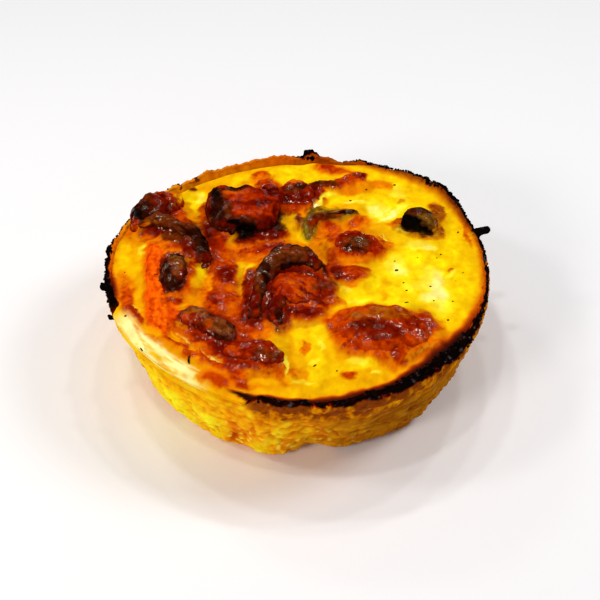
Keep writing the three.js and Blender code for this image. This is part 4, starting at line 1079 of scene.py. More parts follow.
def baked_material(name, grain, grain_depth, blister, oil, rough, specular, mottle, subsurface=0.0):
    """Painted colour with fine mottling, grain in the bump, and glints where oil lies.

    grain is the size of the bumps in millimetres and grain_depth their height; blister is the
    height of the crinkles where the painted gloss is 1; oil is the size of the oily spots; rough
    and specular are the roughness and mirroring where it is dry and where oil lies; mottle is how
    much the noise changes the colour.
    """
    material = bpy.data.materials.new(name)
    material.use_nodes = True
    tree = material.node_tree
    shader = tree.nodes["Principled BSDF"]
    link = tree.links.new
    colour = node(tree, "ShaderNodeAttribute", attribute_name="paint").outputs["Color"]
    gloss = node(tree, "ShaderNodeAttribute", attribute_name="gloss").outputs["Fac"]
    coarse = texture(
        tree, "ShaderNodeTexNoise", "Fac", COARSER * grain, Detail=3.0, Roughness=0.55
    )
    tint = node(tree, "ShaderNodeVectorMath", operation="SCALE")
    link(colour, tint.inputs[0])
    link(ranged(tree, coarse, 0.25, 0.75, 1 - mottle, 1 + mottle), tint.inputs["Scale"])
    link(tint.outputs["Vector"], shader.inputs["Base Color"])
    spots = texture(tree, "ShaderNodeTexNoise", "Fac", oil, Detail=2.0, Roughness=0.5)
    wet = combined(tree, "MULTIPLY", ranged(tree, spots, *OILY, 0, 1), gloss)
    link(ranged(tree, wet, 0, 1, *rough), shader.inputs["Roughness"])
    link(ranged(tree, wet, 0, 1, *specular), shader.inputs["Specular IOR Level"])
    shader.inputs["Specular Tint"].default_value = GLINT_TINT
    link(crinkled(tree, gloss, grain, grain_depth, blister), shader.inputs["Normal"])
    if subsurface:
        shader.inputs["Subsurface Weight"].default_value = subsurface
        shader.inputs["Subsurface Radius"].default_value = EGG_GLOW
        shader.inputs["Subsurface Scale"].default_value = EGG_DEPTH * MM
    return material


def finish_piece(piece, materials, slot, replaced=None):
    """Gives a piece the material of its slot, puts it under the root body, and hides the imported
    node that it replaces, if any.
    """
    piece.data.materials.append(materials[slot])
    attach(piece, "root")
    if replaced:
        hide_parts(replaced)


# ---------------------------------------------------------------- colours

def tinted(colour, count):
    return np.tile(palette(colour), (count, 1))


def shade(colours, amount):
    """Lightens towards cream or darkens towards red-brown, as baking does, both for uneven toasting
    and for painted shade and light on relief: amount is in stops.
    """
    dark = smooth01(1 - colours @ LIGHTNESS / 0.08) * (amount > 0)
    weights = mix(np.array(BROWNING_AND_SHADE_TINTS), 1.0, dark[:, None])
    return colours * np.exp2(amount[:, None] * weights)


def brownness(colours):
    """0 where the surface is yellow, 1 where it is dark."""
    return smooth01((0.45 - colours @ LIGHTNESS) / 0.35)


def wetness(colours):
    """Dark brown skin glistens, yellow egg and burnt black do not."""
    lightness = colours @ LIGHTNESS
    return smooth01((0.26 - lightness) / 0.15) * smooth01(lightness / 0.018)


def toast_colour(toast):
    return graded(toast, TOAST_COLOURS)


def slid_along_sight(places, level, wanted):
    """Moves places along their lines of sight from EYE, from one level to another."""
    eye = np.array(EYE)
    return eye[:2] + (places - eye[:2]) * (eye[2] - wanted) / (eye[2] - level)


def seen_place(points):
    """Where the line of sight through each point meets the level PAINT_LEVEL, as x and y."""
    return slid_along_sight(points[:, :2], points[:, 2:], PAINT_LEVEL)


def wander(places, size, amount, seed):
    """Pushes flat places about, so that painted edges aren't smooth curves."""
    flat = np.concatenate([places, np.zeros((len(places), 1))], 1)
    pushes = [layered(flat, size, 2, seed + turn) for turn in (0, 5)]
    return places + amount * np.stack(pushes, -1)


def brush(colours, places, dabs, softness=0.45):
    """Lays dabs of palette colour over what is there, one after another."""
    rough = wander(wander(places, 4.4, 1.5, 41), 1.6, 1.0, 43)
    for colour, *oval, strength in dabs:
        away = np.sqrt(oval_square(oval, rough[:, 0], rough[:, 1]))
        share = strength * smooth01((1 + softness / 2 - away) / softness)
        colours = bake(colours, palette(colour), share)
    return colours


def streaks(points, degrees):
    """Noise drawn out along the rim."""
    along = degrees * DEGREE * RIM_RADIUS
    across = np.hypot(points[:, 0], points[:, 1])
    return layered(np.stack([0.22 * along, across, points[:, 2]], -1), 1.3, 3, 33)


def edge_colour(burn, degrees):
    """Browning next to the crest: reddish in front, more like toast at the back right."""
    deep = toast_colour(clamp01(0.36 + 0.6 * burn))
    toasted = graded(burn, TOASTED_COLOURS)
    return mix(deep, toasted, (0.9 * within(degrees, TOASTED_SPAN))[:, None])


# ---------------------------------------------------------------- custard

def swell_height(swell, x, y):
    *oval, height = swell
    return height * smooth01(1 - oval_square(oval, x, y))


def path_distance(path, x, y):
    nearest = np.full(np.shape(x), np.inf)
    for (ax, ay), (bx, by) in zip(path, path[1:]):
        dx, dy = bx - ax, by - ay
        share = clamp01(((x - ax) * dx + (y - ay) * dy) / (dx * dx + dy * dy))
        nearest = np.minimum(nearest, np.hypot(x - ax - dx * share, y - ay - dy * share))
    return nearest


def custard_top(x, y):
    """Level of the custard, before it clings to the pieces."""
    degrees = np.arctan2(y, x) / DEGREE
    share = clamp01(np.hypot(x, y) / rim_radius(degrees))
    edge = RIM_HEIGHT - round_table(EDGE_DROPS, degrees)
    inward = 1 - share ** 6
    top = mix(edge, CENTRE_LEVEL, 1 - share * share)
    flat = np.stack([x, y, np.full(x.shape, 3 * CUSTARD_GRAIN)], -1)
    top = top + CUSTARD_RELIEF * noise(flat, CUSTARD_GRAIN)
    for swell in SWELLS:
        top = top + inward * swell_height(swell, x, y)
    for height, half_width, path in RIDGES + FINE_RIDGES:
        top = top + inward * height * smooth01(1 - path_distance(path, x, y) / half_width)
    return top


def footprint(name, x, y):
    """How far places are outside a piece's outline seen from above, and how high its side is."""
    stations = np.array(PIECES[name]["stations"])
    bluntness = PIECES[name]["bluntness"]
    clinging = HALOS[name][1]
    share = np.linspace(0.03, 0.97, FOOTPRINT_CIRCLES)
    close = (1 - np.abs(2 * share - 1) ** bluntness) ** (1 / bluntness)
    line = spline(stations[:, :3], share)
    sizes = spline(stations[:, 3:], share) * close[:, None]
    gap = np.full(np.shape(x), np.inf)
    level = np.zeros(np.shape(x))
    for (cx, cy, cz), (half_width, half_height) in zip(line, sizes):
        here = np.hypot(x - cx, y - cy) - half_width
        level = np.where(here < gap, cz + clinging * half_height, level)
        gap = np.minimum(gap, here)
    return gap, level


def skirted(top, footprints):
    """Raises the custard where it clings to the pieces baked into it."""
    raised = top
    for gap, level in footprints.values():
        climb = np.clip(level - top, 0, SKIRT_RISE)
        raised = np.maximum(raised, top + climb * clamp01(1 - gap / SKIRT_REACH) ** 2)
    return raised


def haloed(colours, points, footprints):
    """Browns the skin round each piece."""
    for number, (name, (gap, _)) in enumerate(footprints.items()):
        reach, _, looks = HALOS[name]
        uneven = gap * (1 + 0.45 * layered(points, 2.6, 2, 90 + number))
        share = clamp01((uneven + 0.5 * noise(points, 1.3, 91)) / reach)
        stops = [(step / len(looks), look) for step, look in enumerate(looks)]
        colours = bake(colours, graded(share, stops), smooth01((1 - share) * 1.8))
    return colours


def curdled(colours, points):
    """Uneven egg: curds everywhere, and mottling and dark spots where it is brown."""
    mottle = (0.25 + 1.5 * brownness(colours)) * layered(points, 1.5, 3, 17)
    curd = 0.4 * layered(points * np.array([1, 0.7, 1]), 2.4, 4, 25)
    colours = shade(colours, mottle + curd + 0.15 * layered(points, 9, 3, 3))
    specks = brownness(colours) * smooth01(layered(points, 1.0, 2, 19) / 0.3 - 0.7)
    return bake(colours, palette("maroon"), 0.45 * specks)


def browned_edge(colours, points, degrees, inward):
    """Browns the custard near the crest, most where the crest is charred."""
    reach = round_table(EDGE_BROWN, degrees) * (1 + 0.35 * layered(points, 3, 2, 23))
    burn = round_table(EDGE_BURN, degrees) * smooth01(1 - inward / np.maximum(reach, 0.1)) ** 1.5
    overhang = BURNT_OVERHANG * ramp(degrees, *OVERHANG_SIDE)
    burn = burn * (1 - overflow(degrees) * smooth01((-inward - overhang) / 0.5))
    return bake(colours, edge_colour(burn, degrees), smooth01(burn * 1.7))


def run_over_lip(colours, points, degrees, inward):
    """Golden outside, and a streaky pale strip painted as the highlight on the rounded lip, where
    the custard has run over the lip.
    """
    spread = overflow(degrees)
    streak = streaks(points, degrees)
    outside = clamp01(spread * smooth01((1.5 - inward) / 2) * (0.75 + 0.5 * streak))
    outside = outside * ramp(degrees, *GOLDEN_SIDE)
    golden = mix(palette("amber"), palette("butter"), ramp(degrees, *BUTTER_SIDE)[:, None])
    colours = mix(colours, golden, outside[:, None])
    # Painted highlight: a streaky cream strip along the top of the rounded lip
    strip = smooth01(1.6 - np.abs(inward + 0.5 + 1.9 * streak) / (0.7 + 1.4 * spread))
    strip = spread * strip * within(degrees, LIP_HIGHLIGHT_SPAN)
    strip = strip * smooth01(0.9 + 2 * streaks(points * 1.7, degrees))
    return mix(colours, palette("cream"), 0.95 * strip[:, None])


def custard_colours(points, footprints):
    """Baked egg: yellow in the middle of the right side, browned towards the charred rim."""
    places = seen_place(points)
    degrees = directions(points)
    inward = shoulder_radius(degrees) - np.hypot(points[:, 0], points[:, 1])
    colours = brush(tinted("gold", len(points)), places, CUSTARD_WASHES, 1.5)
    colours = haloed(colours, points, footprints)
    colours = curdled(brush(colours, places, CUSTARD_DABS, 0.8), points)
    colours = browned_edge(colours, points, degrees, inward)
    colours = run_over_lip(colours, points, degrees, inward)
    return brush(colours, places, LIP_DABS, 0.5)


def disc_grid(cells):
    """Even square grid pressed into a disc: direction in degrees and share of the radius."""
    a, b = np.meshgrid(np.linspace(-1, 1, cells + 1), np.linspace(-1, 1, cells + 1), indexing="ij")
    share = np.maximum(np.abs(a), np.abs(b))
    safe = np.where(share == 0, 1, share)
    steep = np.abs(b) > np.abs(a)
    turn = np.where(steep, 90 * np.sign(b) - 45 * a / safe * np.sign(b), 45 * b / safe * np.sign(a))
    turn = np.where(~steep & (a < 0), turn + 180, turn)
    return turn, share


def square_border(cells):
    """Point numbers round the outside of a square grid, in order."""
    side = cells + 1
    first = [i * side for i in range(cells)]
    second = [cells * side + j for j in range(cells)]
    third = [i * side + cells for i in range(cells, 0, -1)]
    fourth = list(range(cells, 0, -1))
    return np.array(first + second + third + fourth)


def grid_quads(cells):
    side = cells + 1
    i, j = np.meshgrid(np.arange(cells), np.arange(cells), indexing="ij")
    here = (i * side + j).ravel()
    return np.stack([here, here + side, here + side + 1, here + 1], -1)


def custard_lip(degrees):
    """Radius of the custard's outline, and how closely it clings over the crest's shoulder."""
    edge_level = RIM_HEIGHT - round_table(EDGE_DROPS, degrees)
    spread = overflow(degrees)
    cling = round_table(EDGE_CLING, degrees) * (1 - spread)
    inside = mix(inner_radius(degrees, edge_level) - GAP, shoulder_radius(degrees), cling)
    return mix(inside, rim_radius(degrees) + OVERFLOW_REACH, spread), cling


def custard_skin():
    """Points of the custard's top, their colours and how near each is to the edge."""
    degrees, share = (grid.ravel() for grid in disc_grid(CUSTARD_CELLS))
    lip, cling = custard_lip(degrees)
    x, y, _ = on_circle(degrees, lip * share, 0.0).T
    footprints = {name: footprint(name, x, y) for name in PIECES}
    near_edge = clamp01(1 - lip * (1 - share) / CLING_REACH)
    top = skirted(custard_top(x, y), footprints)
    top = mix(top, crest_height(degrees) - CLING_DROP, cling * near_edge ** 2)
    points = np.stack([x, y, top], -1)
    colours = custard_colours(points, footprints)
    bubbles = blisters(points, 1.7, 5) * 0.42 + blisters(points, 0.9, 8) * 0.26
    bubbles = bubbles + 0.35 * crests(points, 1.6, 2, 15)
    curd = 0.2 * layered(points, 3.2, 3, 12) + 0.07 * crests(points, 1.9, 3, 14)
    baked = brownness(colours)
    # Painted shade and light on the relief: where the egg is brown, darker between the blisters and
    # lighter on them, and everywhere darker in the dips of the curd and lighter on its rises
    colours = shade(colours, 1.2 * (baked * (bubbles - 0.3) + curd))
    rounding = OVERFLOW_ROUNDING * overflow(degrees) * smooth01((share - 0.94) / 0.06) ** 2
    points[:, 2] += (1 - share ** 20) * (baked * bubbles + curd) - rounding
    return points, colours, near_edge


def custard_sides(rim_loop, degrees):
    """Loops down from the custard's edge to the brim, and on along the shell to its floor."""
    lip, _ = custard_lip(degrees)
    brim = np.maximum(BRIM_LEVEL, overflow(degrees) * (RIM_HEIGHT - OVERFLOW_DEPTH + 1.5 * GAP))
    wall = inner_radius(degrees, brim) - GAP
    under = mix(wall, np.maximum(wall, lip - OVERFLOW_ROUNDING), overflow(degrees))
    loops = []
    for step in range(1, EDGE_STEPS + 1):
        down = step / EDGE_STEPS
        level = mix(rim_loop[:, 2], brim, down)
        loops.append(on_circle(degrees, mix(lip, under, down ** 2), level))
    for level in (brim - GAP, FLOOR_THICKNESS + GAP):
        loops.append(on_circle(degrees, inner_radius(degrees, level) - GAP, level))
    return loops


def build_custard():
    """The custard: its top, its edge over the lip or against the wall, and its underside."""
    points, colours, near_edge = custard_skin()
    border = square_border(CUSTARD_CELLS)
    around = disc_grid(CUSTARD_CELLS)[0].ravel()[border]
    loops = custard_sides(points[border], around)
    count, columns = len(points), len(border)
    all_points = np.concatenate([points] + loops + [[[0, 0, FLOOR_THICKNESS + GAP]]])
    first = ring_faces(2, columns)
    first = np.where(first < columns, border[first % columns], count + first - columns)
    lower = count + ring_faces(len(loops), columns)
    pole = cap_faces(count + (len(loops) - 1) * columns, columns, len(all_points) - 1, False)
    piece = add_mesh("baked_custard", all_points, [grid_quads(CUSTARD_CELLS), first, lower, pole])
    edge_points = all_points[count:]
    colours = np.concatenate([colours, custard_colours(edge_points, {})])
    dry = np.concatenate([clamp01(1.8 * near_edge), np.ones(len(edge_points))])
    paint(piece, colours, wetness(colours) * (1 - dry))
    return piece


# ---------------------------------------------------------------- pastry shell

def leaf_edges(points):
    return crests(points * LEAVES, 2.4, 2, 9)


def wall_detail(points, degrees, height_share):
    """Greasy lumps and sheets of the wall, in millimetres outwards."""
    low = ramp(points[:, 2], *LUMPY_HEIGHTS)
    lumps = (0.2 + 0.5 * low) * blisters(points * np.array([1, 1, 1.5]), 2.8, 3)
    lumps = lumps + (0.1 + 0.2 * low) * blisters(points, 1.5, 4)
    sheets = 0.25 * crests(points * np.array([1, 1, 0.4]), 4.0, 3, 6)
    leaves = 0.45 * within(degrees, LEAVES_SPAN) * leaf_edges(points)
    fine = 0.05 * layered(points, 0.9, 2, 8)
    fade = ramp(height_share, 0, 0.06) * ramp(height_share, 1, 0.95)
    return fade * (lumps + sheets + leaves + fine - 0.35)


def shell_rings():
    """Rings of the shell from its foot to its inner floor, and which part each is on.

    A part is 0 to 1 up the wall, 1 to 2 inwards over the crest, and 3 on the inside.
    """
    around = -180 + 360 * np.arange(SHELL_COLUMNS) / SHELL_COLUMNS
    crags = FINE_CRAGS * layered(on_circle(around, RIM_RADIUS, 0.0), 1.6, 3, 21)
    height = crest_height(around) + crags * (1 - overflow(around))
    foot = foot_radius(around)
    rings, parts = [], []
    for step in range(FOOT_STEPS + 1):
        turn = math.pi / 2 * step / FOOT_STEPS
        inset = FOOT_ROUNDING * (1 - math.sin(turn))
        rings.append(on_circle(around, foot - inset, FOOT_ROUNDING * (1 - math.cos(turn))))
        parts.append(0.0)
    shares, drops = np.array(CREST_SECTION).T
    for step in range(1, WALL_RINGS + 1):
        share = step / WALL_RINGS
        z = mix(FOOT_ROUNDING, height - drops[0], share)
        rings.append(on_circle(around, wall_radius(around, z), z))
        parts.append(share)
    width = round_table(CREST_WIDTHS, around)
    for step in range(1, CREST_RINGS + 1):
        share = step / CREST_RINGS
        z = height - np.interp(share, shares, drops)
        rings.append(on_circle(around, rim_radius(around) - width * share, z))
        parts.append(1 + share)
    low = np.minimum(BRIM_LEVEL, height - 2)
    for step in range(INNER_RINGS):
        z = mix(low, FLOOR_THICKNESS, (step / (INNER_RINGS - 1)) ** 1.5)
        rings.append(on_circle(around, inner_radius(around, z), z))
        parts.append(3.0)
    return around, np.array(rings), np.array(parts)


def wall_colours(points, degrees):
    """Greasy baked shortcrust, golden at the left and browner towards the right: partly its own
    toasting and partly painted light and shade, lighter on the lit left and darker on the shaded
    right. Painted shade also darkens it towards the foot.
    """
    z = points[:, 2]
    # Toasting and painted light together: browner on the shaded right, paler on the lit left
    right = within(degrees, BROWNED_AND_SHADED_SPAN)
    left = ramp(degrees, *PALE_AND_LIT_SIDE)
    patches = layered(points * UPRIGHT, 4.0, 3, 55)
    uneven = 0.08 * layered(points, 8, 3, 51) + 0.06 * layered(points, 2.0, 3, 53)
    # Painted shade: darker towards the foot
    toast = 0.42 - 0.06 * left + uneven + 0.2 * patches + 0.04 * ramp(z, *FOOT_SHADE_HEIGHTS)
    colours = bake(toast_colour(clamp01(toast)), palette("toast"), 0.85 * right)
    colours = shade(colours, np.minimum(0.2 - 0.6 * patches, 0.25))
    browned = right * smooth01((0.65 - leaf_edges(points)) / 0.3)
    colours = bake(colours, palette("umber"), 0.25 * browned)
    # Pale fat spots on the lumps, painted as highlights, most towards the foot and on the left
    low = ramp(z, *FAT_HIGHLIGHT_HEIGHTS)
    fat_and_highlight_share = smooth01(0.45 * low + 0.35 * left + 2.6 * patches)
    fat_highlights = fat_and_highlight_share * smooth01(blisters(points, 1.8, 57) * 3 - 1.8)
    fat_highlight_colour = mix(palette("butter"), palette("pale"), low[:, None])
    colours = mix(colours, fat_highlight_colour, (0.75 * fat_highlights * (1 - 0.8 * right))[:, None])
    under_lip = ramp(z, *UNDER_LIP_HEIGHTS) * within(degrees, UNDER_LIP_SPAN)
    under_lip = clamp01(under_lip * (0.5 + 0.9 * streaks(points, degrees)))
    colours = mix(colours, palette("butter"), under_lip[:, None])
    milky = under_lip * smooth01(streaks(points * 1.3, degrees) * 3 - 0.1)
    return mix(colours, palette("pale"), (0.8 * milky)[:, None])


def toasted_band(colours, points, degrees):
    """Browns the wall under the crest, in scallops and dark specks."""
    scallops = layered(points * UPRIGHT, 2.0, 4, 63)
    above = points[:, 2] - round_table(BAND_FOOT, degrees) - 2.0 * scallops
    band = smooth01((above + 1) / 4.5) * (1 - overflow(degrees) ** 2)
    band = band * round_table(BAND_TOAST, degrees)
    brown = smooth01(0.45 + 2.2 * scallops + 0.06 * (above - 2))
    toasted = bake(tinted("amber", len(points)), palette("chestnut"), 0.75 * brown)
    specks = smooth01(4 * layered(points, 1.1, 2, 79) - 1.4)
    return bake(bake(colours, toasted, band), palette("umber"), 0.6 * band * specks)


def charred(colours, points, degrees, below, inside):
    """Blackens the crest: red-brown at its edge and in places, with ashes and painted dull grey
    glints.
    """
    depth = round_table(CHAR_DEPTH, degrees) + 0.6 * layered(points, 2.0, 3, 67)
    char = smooth01((depth - below) / 0.5 + 0.5) * (1 - overflow(degrees)) * (1 - inside)
    front = near_direction(degrees, *RED_CHAR)
    reddish = 0.5 * layered(points, 1.6, 3, 61) + 0.7 * front * layered(points, 1.1, 2, 69)
    reddish = smooth01(reddish + 0.3 * front)
    ashes = 0.3 * smooth01(2 * layered(points, 0.9, 2, 75))
    burnt = smooth01(2 * char - 1) * (1 - 0.6 * reddish) * (1 - ashes)
    colours = bake(colours, palette("maroon"), smooth01(2 * char))
    colours = bake(colours, palette("black"), burnt)
    # Painted highlights: grey glints on the char
    glints = 0.5 * char * smooth01(3 * layered(points, 0.9, 2, 77) - 0.9)
    return mix(colours, palette("char_glint_grey"), glints[:, None]), char


def crust_colours(points, degrees, parts, height):
    """Colours of the shell, and where it is charred."""
    colours = toasted_band(wall_colours(points, degrees), points, degrees)
    fine = layered(points, 1.6, 3, 61)
    burn = round_table(EDGE_BURN, degrees) * (0.9 + 0.3 * fine)
    baked = shade(edge_colour(burn, degrees), 0.9 * fine - 0.15)
    beyond_char = clamp01(parts - 1) - round_table(CHAR_WIDTH, degrees) - 0.25 * fine
    inside = smooth01(beyond_char / 0.14)
    colours = bake(colours, baked, inside)
    return charred(colours, points, degrees, height - points[:, 2], inside)


def build_crust():
    """The whole shell as one closed skin, pushed out along its normals by its fine forms."""
    around, rings, parts = shell_rings()
    normals = grid_normals(rings)
    mid_wall = FOOT_STEPS + WALL_RINGS // 2
    normals = normals * np.sign((normals[mid_wall] * rings[mid_wall])[:, :2].sum())
    flat = rings.reshape(-1, 3)
    degrees = np.tile(around, len(rings))
    part = np.repeat(parts, len(around))
    wall_push = wall_detail(flat, degrees, clamp01(part)) * (part <= 1)
    on_crest = smooth01((part - 0.93) / 0.07) * smooth01((3.0 - part) / 0.5)
    crags = 0.35 * layered(flat, 1.5, 3, 71) + 0.3 * layered(flat, 0.7, 2, 73)
    crags = crags * (1 + clamp01(0.5 * round_table(CHAR_DEPTH, degrees)))
    push = wall_push + on_crest * crags * (1 - 0.7 * overflow(degrees))
    points = flat + normals.reshape(-1, 3) * push[:, None]
    points[:, 2] = np.maximum(points[:, 2], 0)
    points[:len(around), 2] = 0
    mesh_points, quads, caps = closed_stack(
        points.reshape(rings.shape), (0, 0, 0), (0, 0, FLOOR_THICKNESS)
    )
    piece = add_mesh("pastry_shell", mesh_points, [quads, caps])
    height = np.tile(crest_height(around), len(rings))
    colours, char = crust_colours(points, degrees, part, height)
    # Painted shade and light: the wall darker in the hollows between its lumps and a little lighter
    # on them
    colours = shade(colours, np.clip(2.4 * wall_push, -0.9, 0.25))
    colours = np.concatenate([colours, tinted("tan", 2)])
    paint(piece, colours, 0.3 * np.concatenate([1 - char, [1, 1]]))
    return piece


# ---------------------------------------------------------------- lofted pieces

def spline(points, share):
    """Centripetal Catmull-Rom curve through points, at shares from 0 to 1 of its stretches."""
    points = np.asarray(points, float)
    before, after = 2 * points[0] - points[1], 2 * points[-1] - points[-2]
    padded = np.concatenate([[before], points, [after]])
    place = clamp01(share) * (len(points) - 1)
    first = np.minimum(place.astype(int), len(points) - 2)
    u = (place - first)[:, None]
    p0, p1, p2, p3 = (padded[first + n] for n in range(4))

    def gap(a, b):
        return np.maximum(((a - b) ** 2).sum(-1, keepdims=True) ** 0.25, 1e-4)

    g0, g1, g2 = gap(p0, p1), gap(p1, p2), gap(p2, p3)
    t1 = ((p1 - p0) / g0 - (p2 - p0) / (g0 + g1) + (p2 - p1) / g1) * g1
    t2 = ((p2 - p1) / g1 - (p3 - p1) / (g1 + g2) + (p3 - p2) / g2) * g1
    third = 2 * p1 - 2 * p2 + t1 + t2
    second = -3 * p1 + 3 * p2 - 2 * t1 - t2
    return p1 + u * (t1 + u * (second + u * third))


def even_section(squareness, sides):
    """Points of a superellipse of half-size 1, evenly spaced along it."""
    turn = np.linspace(0, 2 * math.pi, 4001)
    power = 2 / squareness
    a = np.sign(np.cos(turn)) * np.abs(np.cos(turn)) ** power
    b = np.sign(np.sin(turn)) * np.abs(np.sin(turn)) ** power
    length = np.concatenate([[0], np.cumsum(np.hypot(np.diff(a), np.diff(b)))])
    wanted = length[-1] * np.arange(sides) / sides
    return np.interp(wanted, length, a), np.interp(wanted, length, b)


def sideways(ahead):
    """Level directions of length 1 across those of a line."""
    across = np.stack([-ahead[:, 1], ahead[:, 0], 0 * ahead[:, 2]], -1)
    return across / np.linalg.norm(across, axis=-1, keepdims=True)


def loft(stations, squareness, bluntness, relief, sides=PIECE_SIDES, steps=PIECE_STEPS):
    """Rings of a rounded piece along a smooth line, and its two end points."""
    stations = np.asarray(stations, float)
    along = -np.cos(math.pi * np.arange(1, steps) / steps)
    share = (along + 1) / 2
    close = (1 - np.abs(along) ** bluntness) ** (1 / bluntness)
    line, size = stations[:, :3], stations[:, 3:]
    middle = spline(line, share)
    ahead = spline(line, share + 1e-3) - spline(line, share - 1e-3)
    across = sideways(ahead)
    sizes = spline(size, share) * close[:, None]
    a, b = even_section(squareness, sides)
    rings = middle[:, None] + across[:, None] * (a[:, None] * sizes[:, None, :1])
    rings[..., 2] += b * sizes[:, 1:]
    lift = relief * close[:, None] * noise(rings, PIECE_GRAIN)
    rings = rings + across[:, None] * (a * lift)[..., None]
    rings[..., 2] += b * lift
    return rings, line[0], line[-1]


def wrinkled(rings, bubble, wrinkle, grain, seed):
    """Adds blisters, wrinkles and grain, of those heights in millimetres, along the normals."""
    normals = grid_normals(rings)
    centre = rings.mean(1, keepdims=True)
    normals = normals * np.sign(((rings - centre) * normals).sum() or 1)
    push = 1.3 * bubble * noise(rings, 3.6, seed + 5)
    push = push + bubble * (blisters(rings, 2.0, seed) - 0.3)
    push = push + 0.5 * bubble * (blisters(rings, 1.05, seed + 1) - 0.3)
    push = push + wrinkle * (crests(rings, 2.2, 3, seed + 2) - 0.5)
    push = push + grain * layered(rings, 0.8, 2, seed + 3)
    ends = np.abs(np.linspace(-1, 1, len(rings)))
    push = push * smooth01((1 - ends) / 0.06)[:, None]
    return rings + normals * push[..., None], push


def block_with_hollow(rings, scoop):
    """Pushes the front of the block back to the far side of the hollow under its lip."""
    x, y, z, radius, depth = scoop
    across = (rings[..., 0] - x) / radius
    up = (rings[..., 2] - z) / radius
    inside = clamp01(1 - across * across - up * up)
    back = y + depth * np.sqrt(inside)
    front = rings[..., 1] < y + depth
    rings[..., 1] = np.where(front & (inside > 0), np.maximum(rings[..., 1], back), rings[..., 1])
    return rings


def build_piece(name, seed):
    """One roasted piece, coloured by its dabs, by painted shade and light on its relief, and by the
    skin round it.
    """
    shape = PIECES[name]
    base, bubble, wrinkle, grain, gloss, dabs = LOOKS[name]
    rings, start, end = loft(
        shape["stations"], shape["squareness"], shape["bluntness"], shape["relief"]
    )
    if "scoop" in shape:
        rings = block_with_hollow(rings, shape["scoop"])
    rings, push = wrinkled(rings, bubble, wrinkle, grain, seed)
    points, quads, caps = closed_stack(rings, start, end)
    piece = add_mesh(name + "_dressed", points, [quads, caps])
    colours = brush(tinted(base, len(points)), seen_place(points), dabs)
    fine = layered(points, 1.1, 3, seed + 4)
    broad = layered(points, 3.5, 2, seed + 5)
    _, level = footprint(name, points[:, 0], points[:, 1])
    top = custard_top(points[:, 0], points[:, 1])
    above = points[:, 2] - np.clip(level, top, top + SKIRT_RISE)
    half_height = max(station[4] for station in shape["stations"])
    flank = smooth01(1 - above / (FLANK_SHARE * half_height * (1 + 0.6 * broad)))
    skin = HALOS[name][2][0]
    colours = bake(colours, palette(skin), 0.85 * flank)
    # Painted shade and light: the relief's hollows darker and its bumps lighter, on top of the
    # mottling
    relief = np.concatenate([push.ravel(), [0, 0]])
    lift = 2.0 * fine + 0.6 * broad + RELIEF_SHADE * relief
    colours = shade(colours, np.minimum(lift, MOST_LIFT))
    paint(piece, colours, gloss * wetness(colours))
    return piece


# ---------------------------------------------------------------- crumbs, specks and fibres

def icosphere():
    """Unit icosahedron with each face cut in four."""
    g = (1 + 5 ** 0.5) / 2
    corners = [(-1, g, 0), (1, g, 0), (-1, -g, 0), (1, -g, 0), (0, -1, g), (0, 1, g),
               (0, -1, -g), (0, 1, -g), (g, 0, -1), (g, 0, 1), (-g, 0, -1), (-g, 0, 1)]
    faces = [(0, 11, 5), (0, 5, 1), (0, 1, 7), (0, 7, 10), (0, 10, 11), (1, 5, 9), (5, 11, 4),
             (11, 10, 2), (10, 7, 6), (7, 1, 8), (3, 9, 4), (3, 4, 2), (3, 2, 6), (3, 6, 8),
             (3, 8, 9), (4, 9, 5), (2, 4, 11), (6, 2, 10), (8, 6, 7), (9, 8, 1)]
    points = [np.array(corner) / math.hypot(1, g) for corner in corners]
    halves = {}

    def halfway(i, j):
        key = (min(i, j), max(i, j))
        if key not in halves:
            middle = points[i] + points[j]
            points.append(middle / np.linalg.norm(middle))
            halves[key] = len(points) - 1
        return halves[key]

    cut = []
    for a, b, c in faces:
        ab, bc, ca = halfway(a, b), halfway(b, c), halfway(c, a)
        cut += [(a, ab, ca), (b, bc, ab), (c, ca, bc), (ab, bc, ca)]
    return np.array(points), np.array(cut)


ICO_POINTS, ICO_FACES = icosphere()


def join_lumps(name, places):
    """One mesh of many crumbs: each place is centre, three half-sizes, turn about z, seed."""
    points, faces = [], []
    for centre, sizes, turn, seed in places:
        rough = CRUMB_ROUGHNESS * (lattice(*ICO_POINTS.T * 7, seed) - 0.5)
        x, y, z = (ICO_POINTS * (1 + rough[:, None]) * np.array(sizes)).T
        c, s = math.cos(turn), math.sin(turn)
        faces.append(ICO_FACES + len(points) * len(ICO_POINTS))
        points.append(np.stack([x * c - y * s, x * s + y * c, z], -1) + np.array(centre))
    return add_mesh(name, np.concatenate(points), [np.concatenate(faces)], smooth=False)


def on_custard(u, v):
    """The point of the custard's top that is seen at a place of the paint level."""
    z = PAINT_LEVEL
    for _ in range(4):
        x, y = slid_along_sight(np.array([u, v]), PAINT_LEVEL, z)
        z = float(custard_top(np.array([x]), np.array([y]))[0])
    return x, y, z


def build_specks():
    places = []
    for number, (u, v, length, width, turn) in enumerate(SPECKS):
        x, y, z = on_custard(u, v)
        sizes = (0.42 * length, 0.42 * width, 0.2)
        places.append(((x, y, z + 0.08), sizes, turn * DEGREE, number))
    piece = join_lumps("pepper_specks", places)
    paint(piece, tinted("umber", len(piece.data.vertices)) * 0.6, 0.2)
    return piece


def tube(path, radius, sides=8, steps=24):
    """Closed tube along a smooth path, thinner towards its ends."""
    middle = spline(path, np.linspace(0, 1, steps))
    ahead = np.gradient(middle, axis=0)
    across = sideways(ahead)
    thin = radius * np.sqrt(np.sin(math.pi * (np.arange(steps) + 1) / (steps + 1)))
    turn = 2 * math.pi * np.arange(sides) / sides
    rings = middle[:, None] + across[:, None] * (np.cos(turn)[:, None] * thin[:, None, None])
    rings[..., 2] += np.sin(turn) * thin[:, None]
    return closed_stack(rings, middle[0], middle[-1])


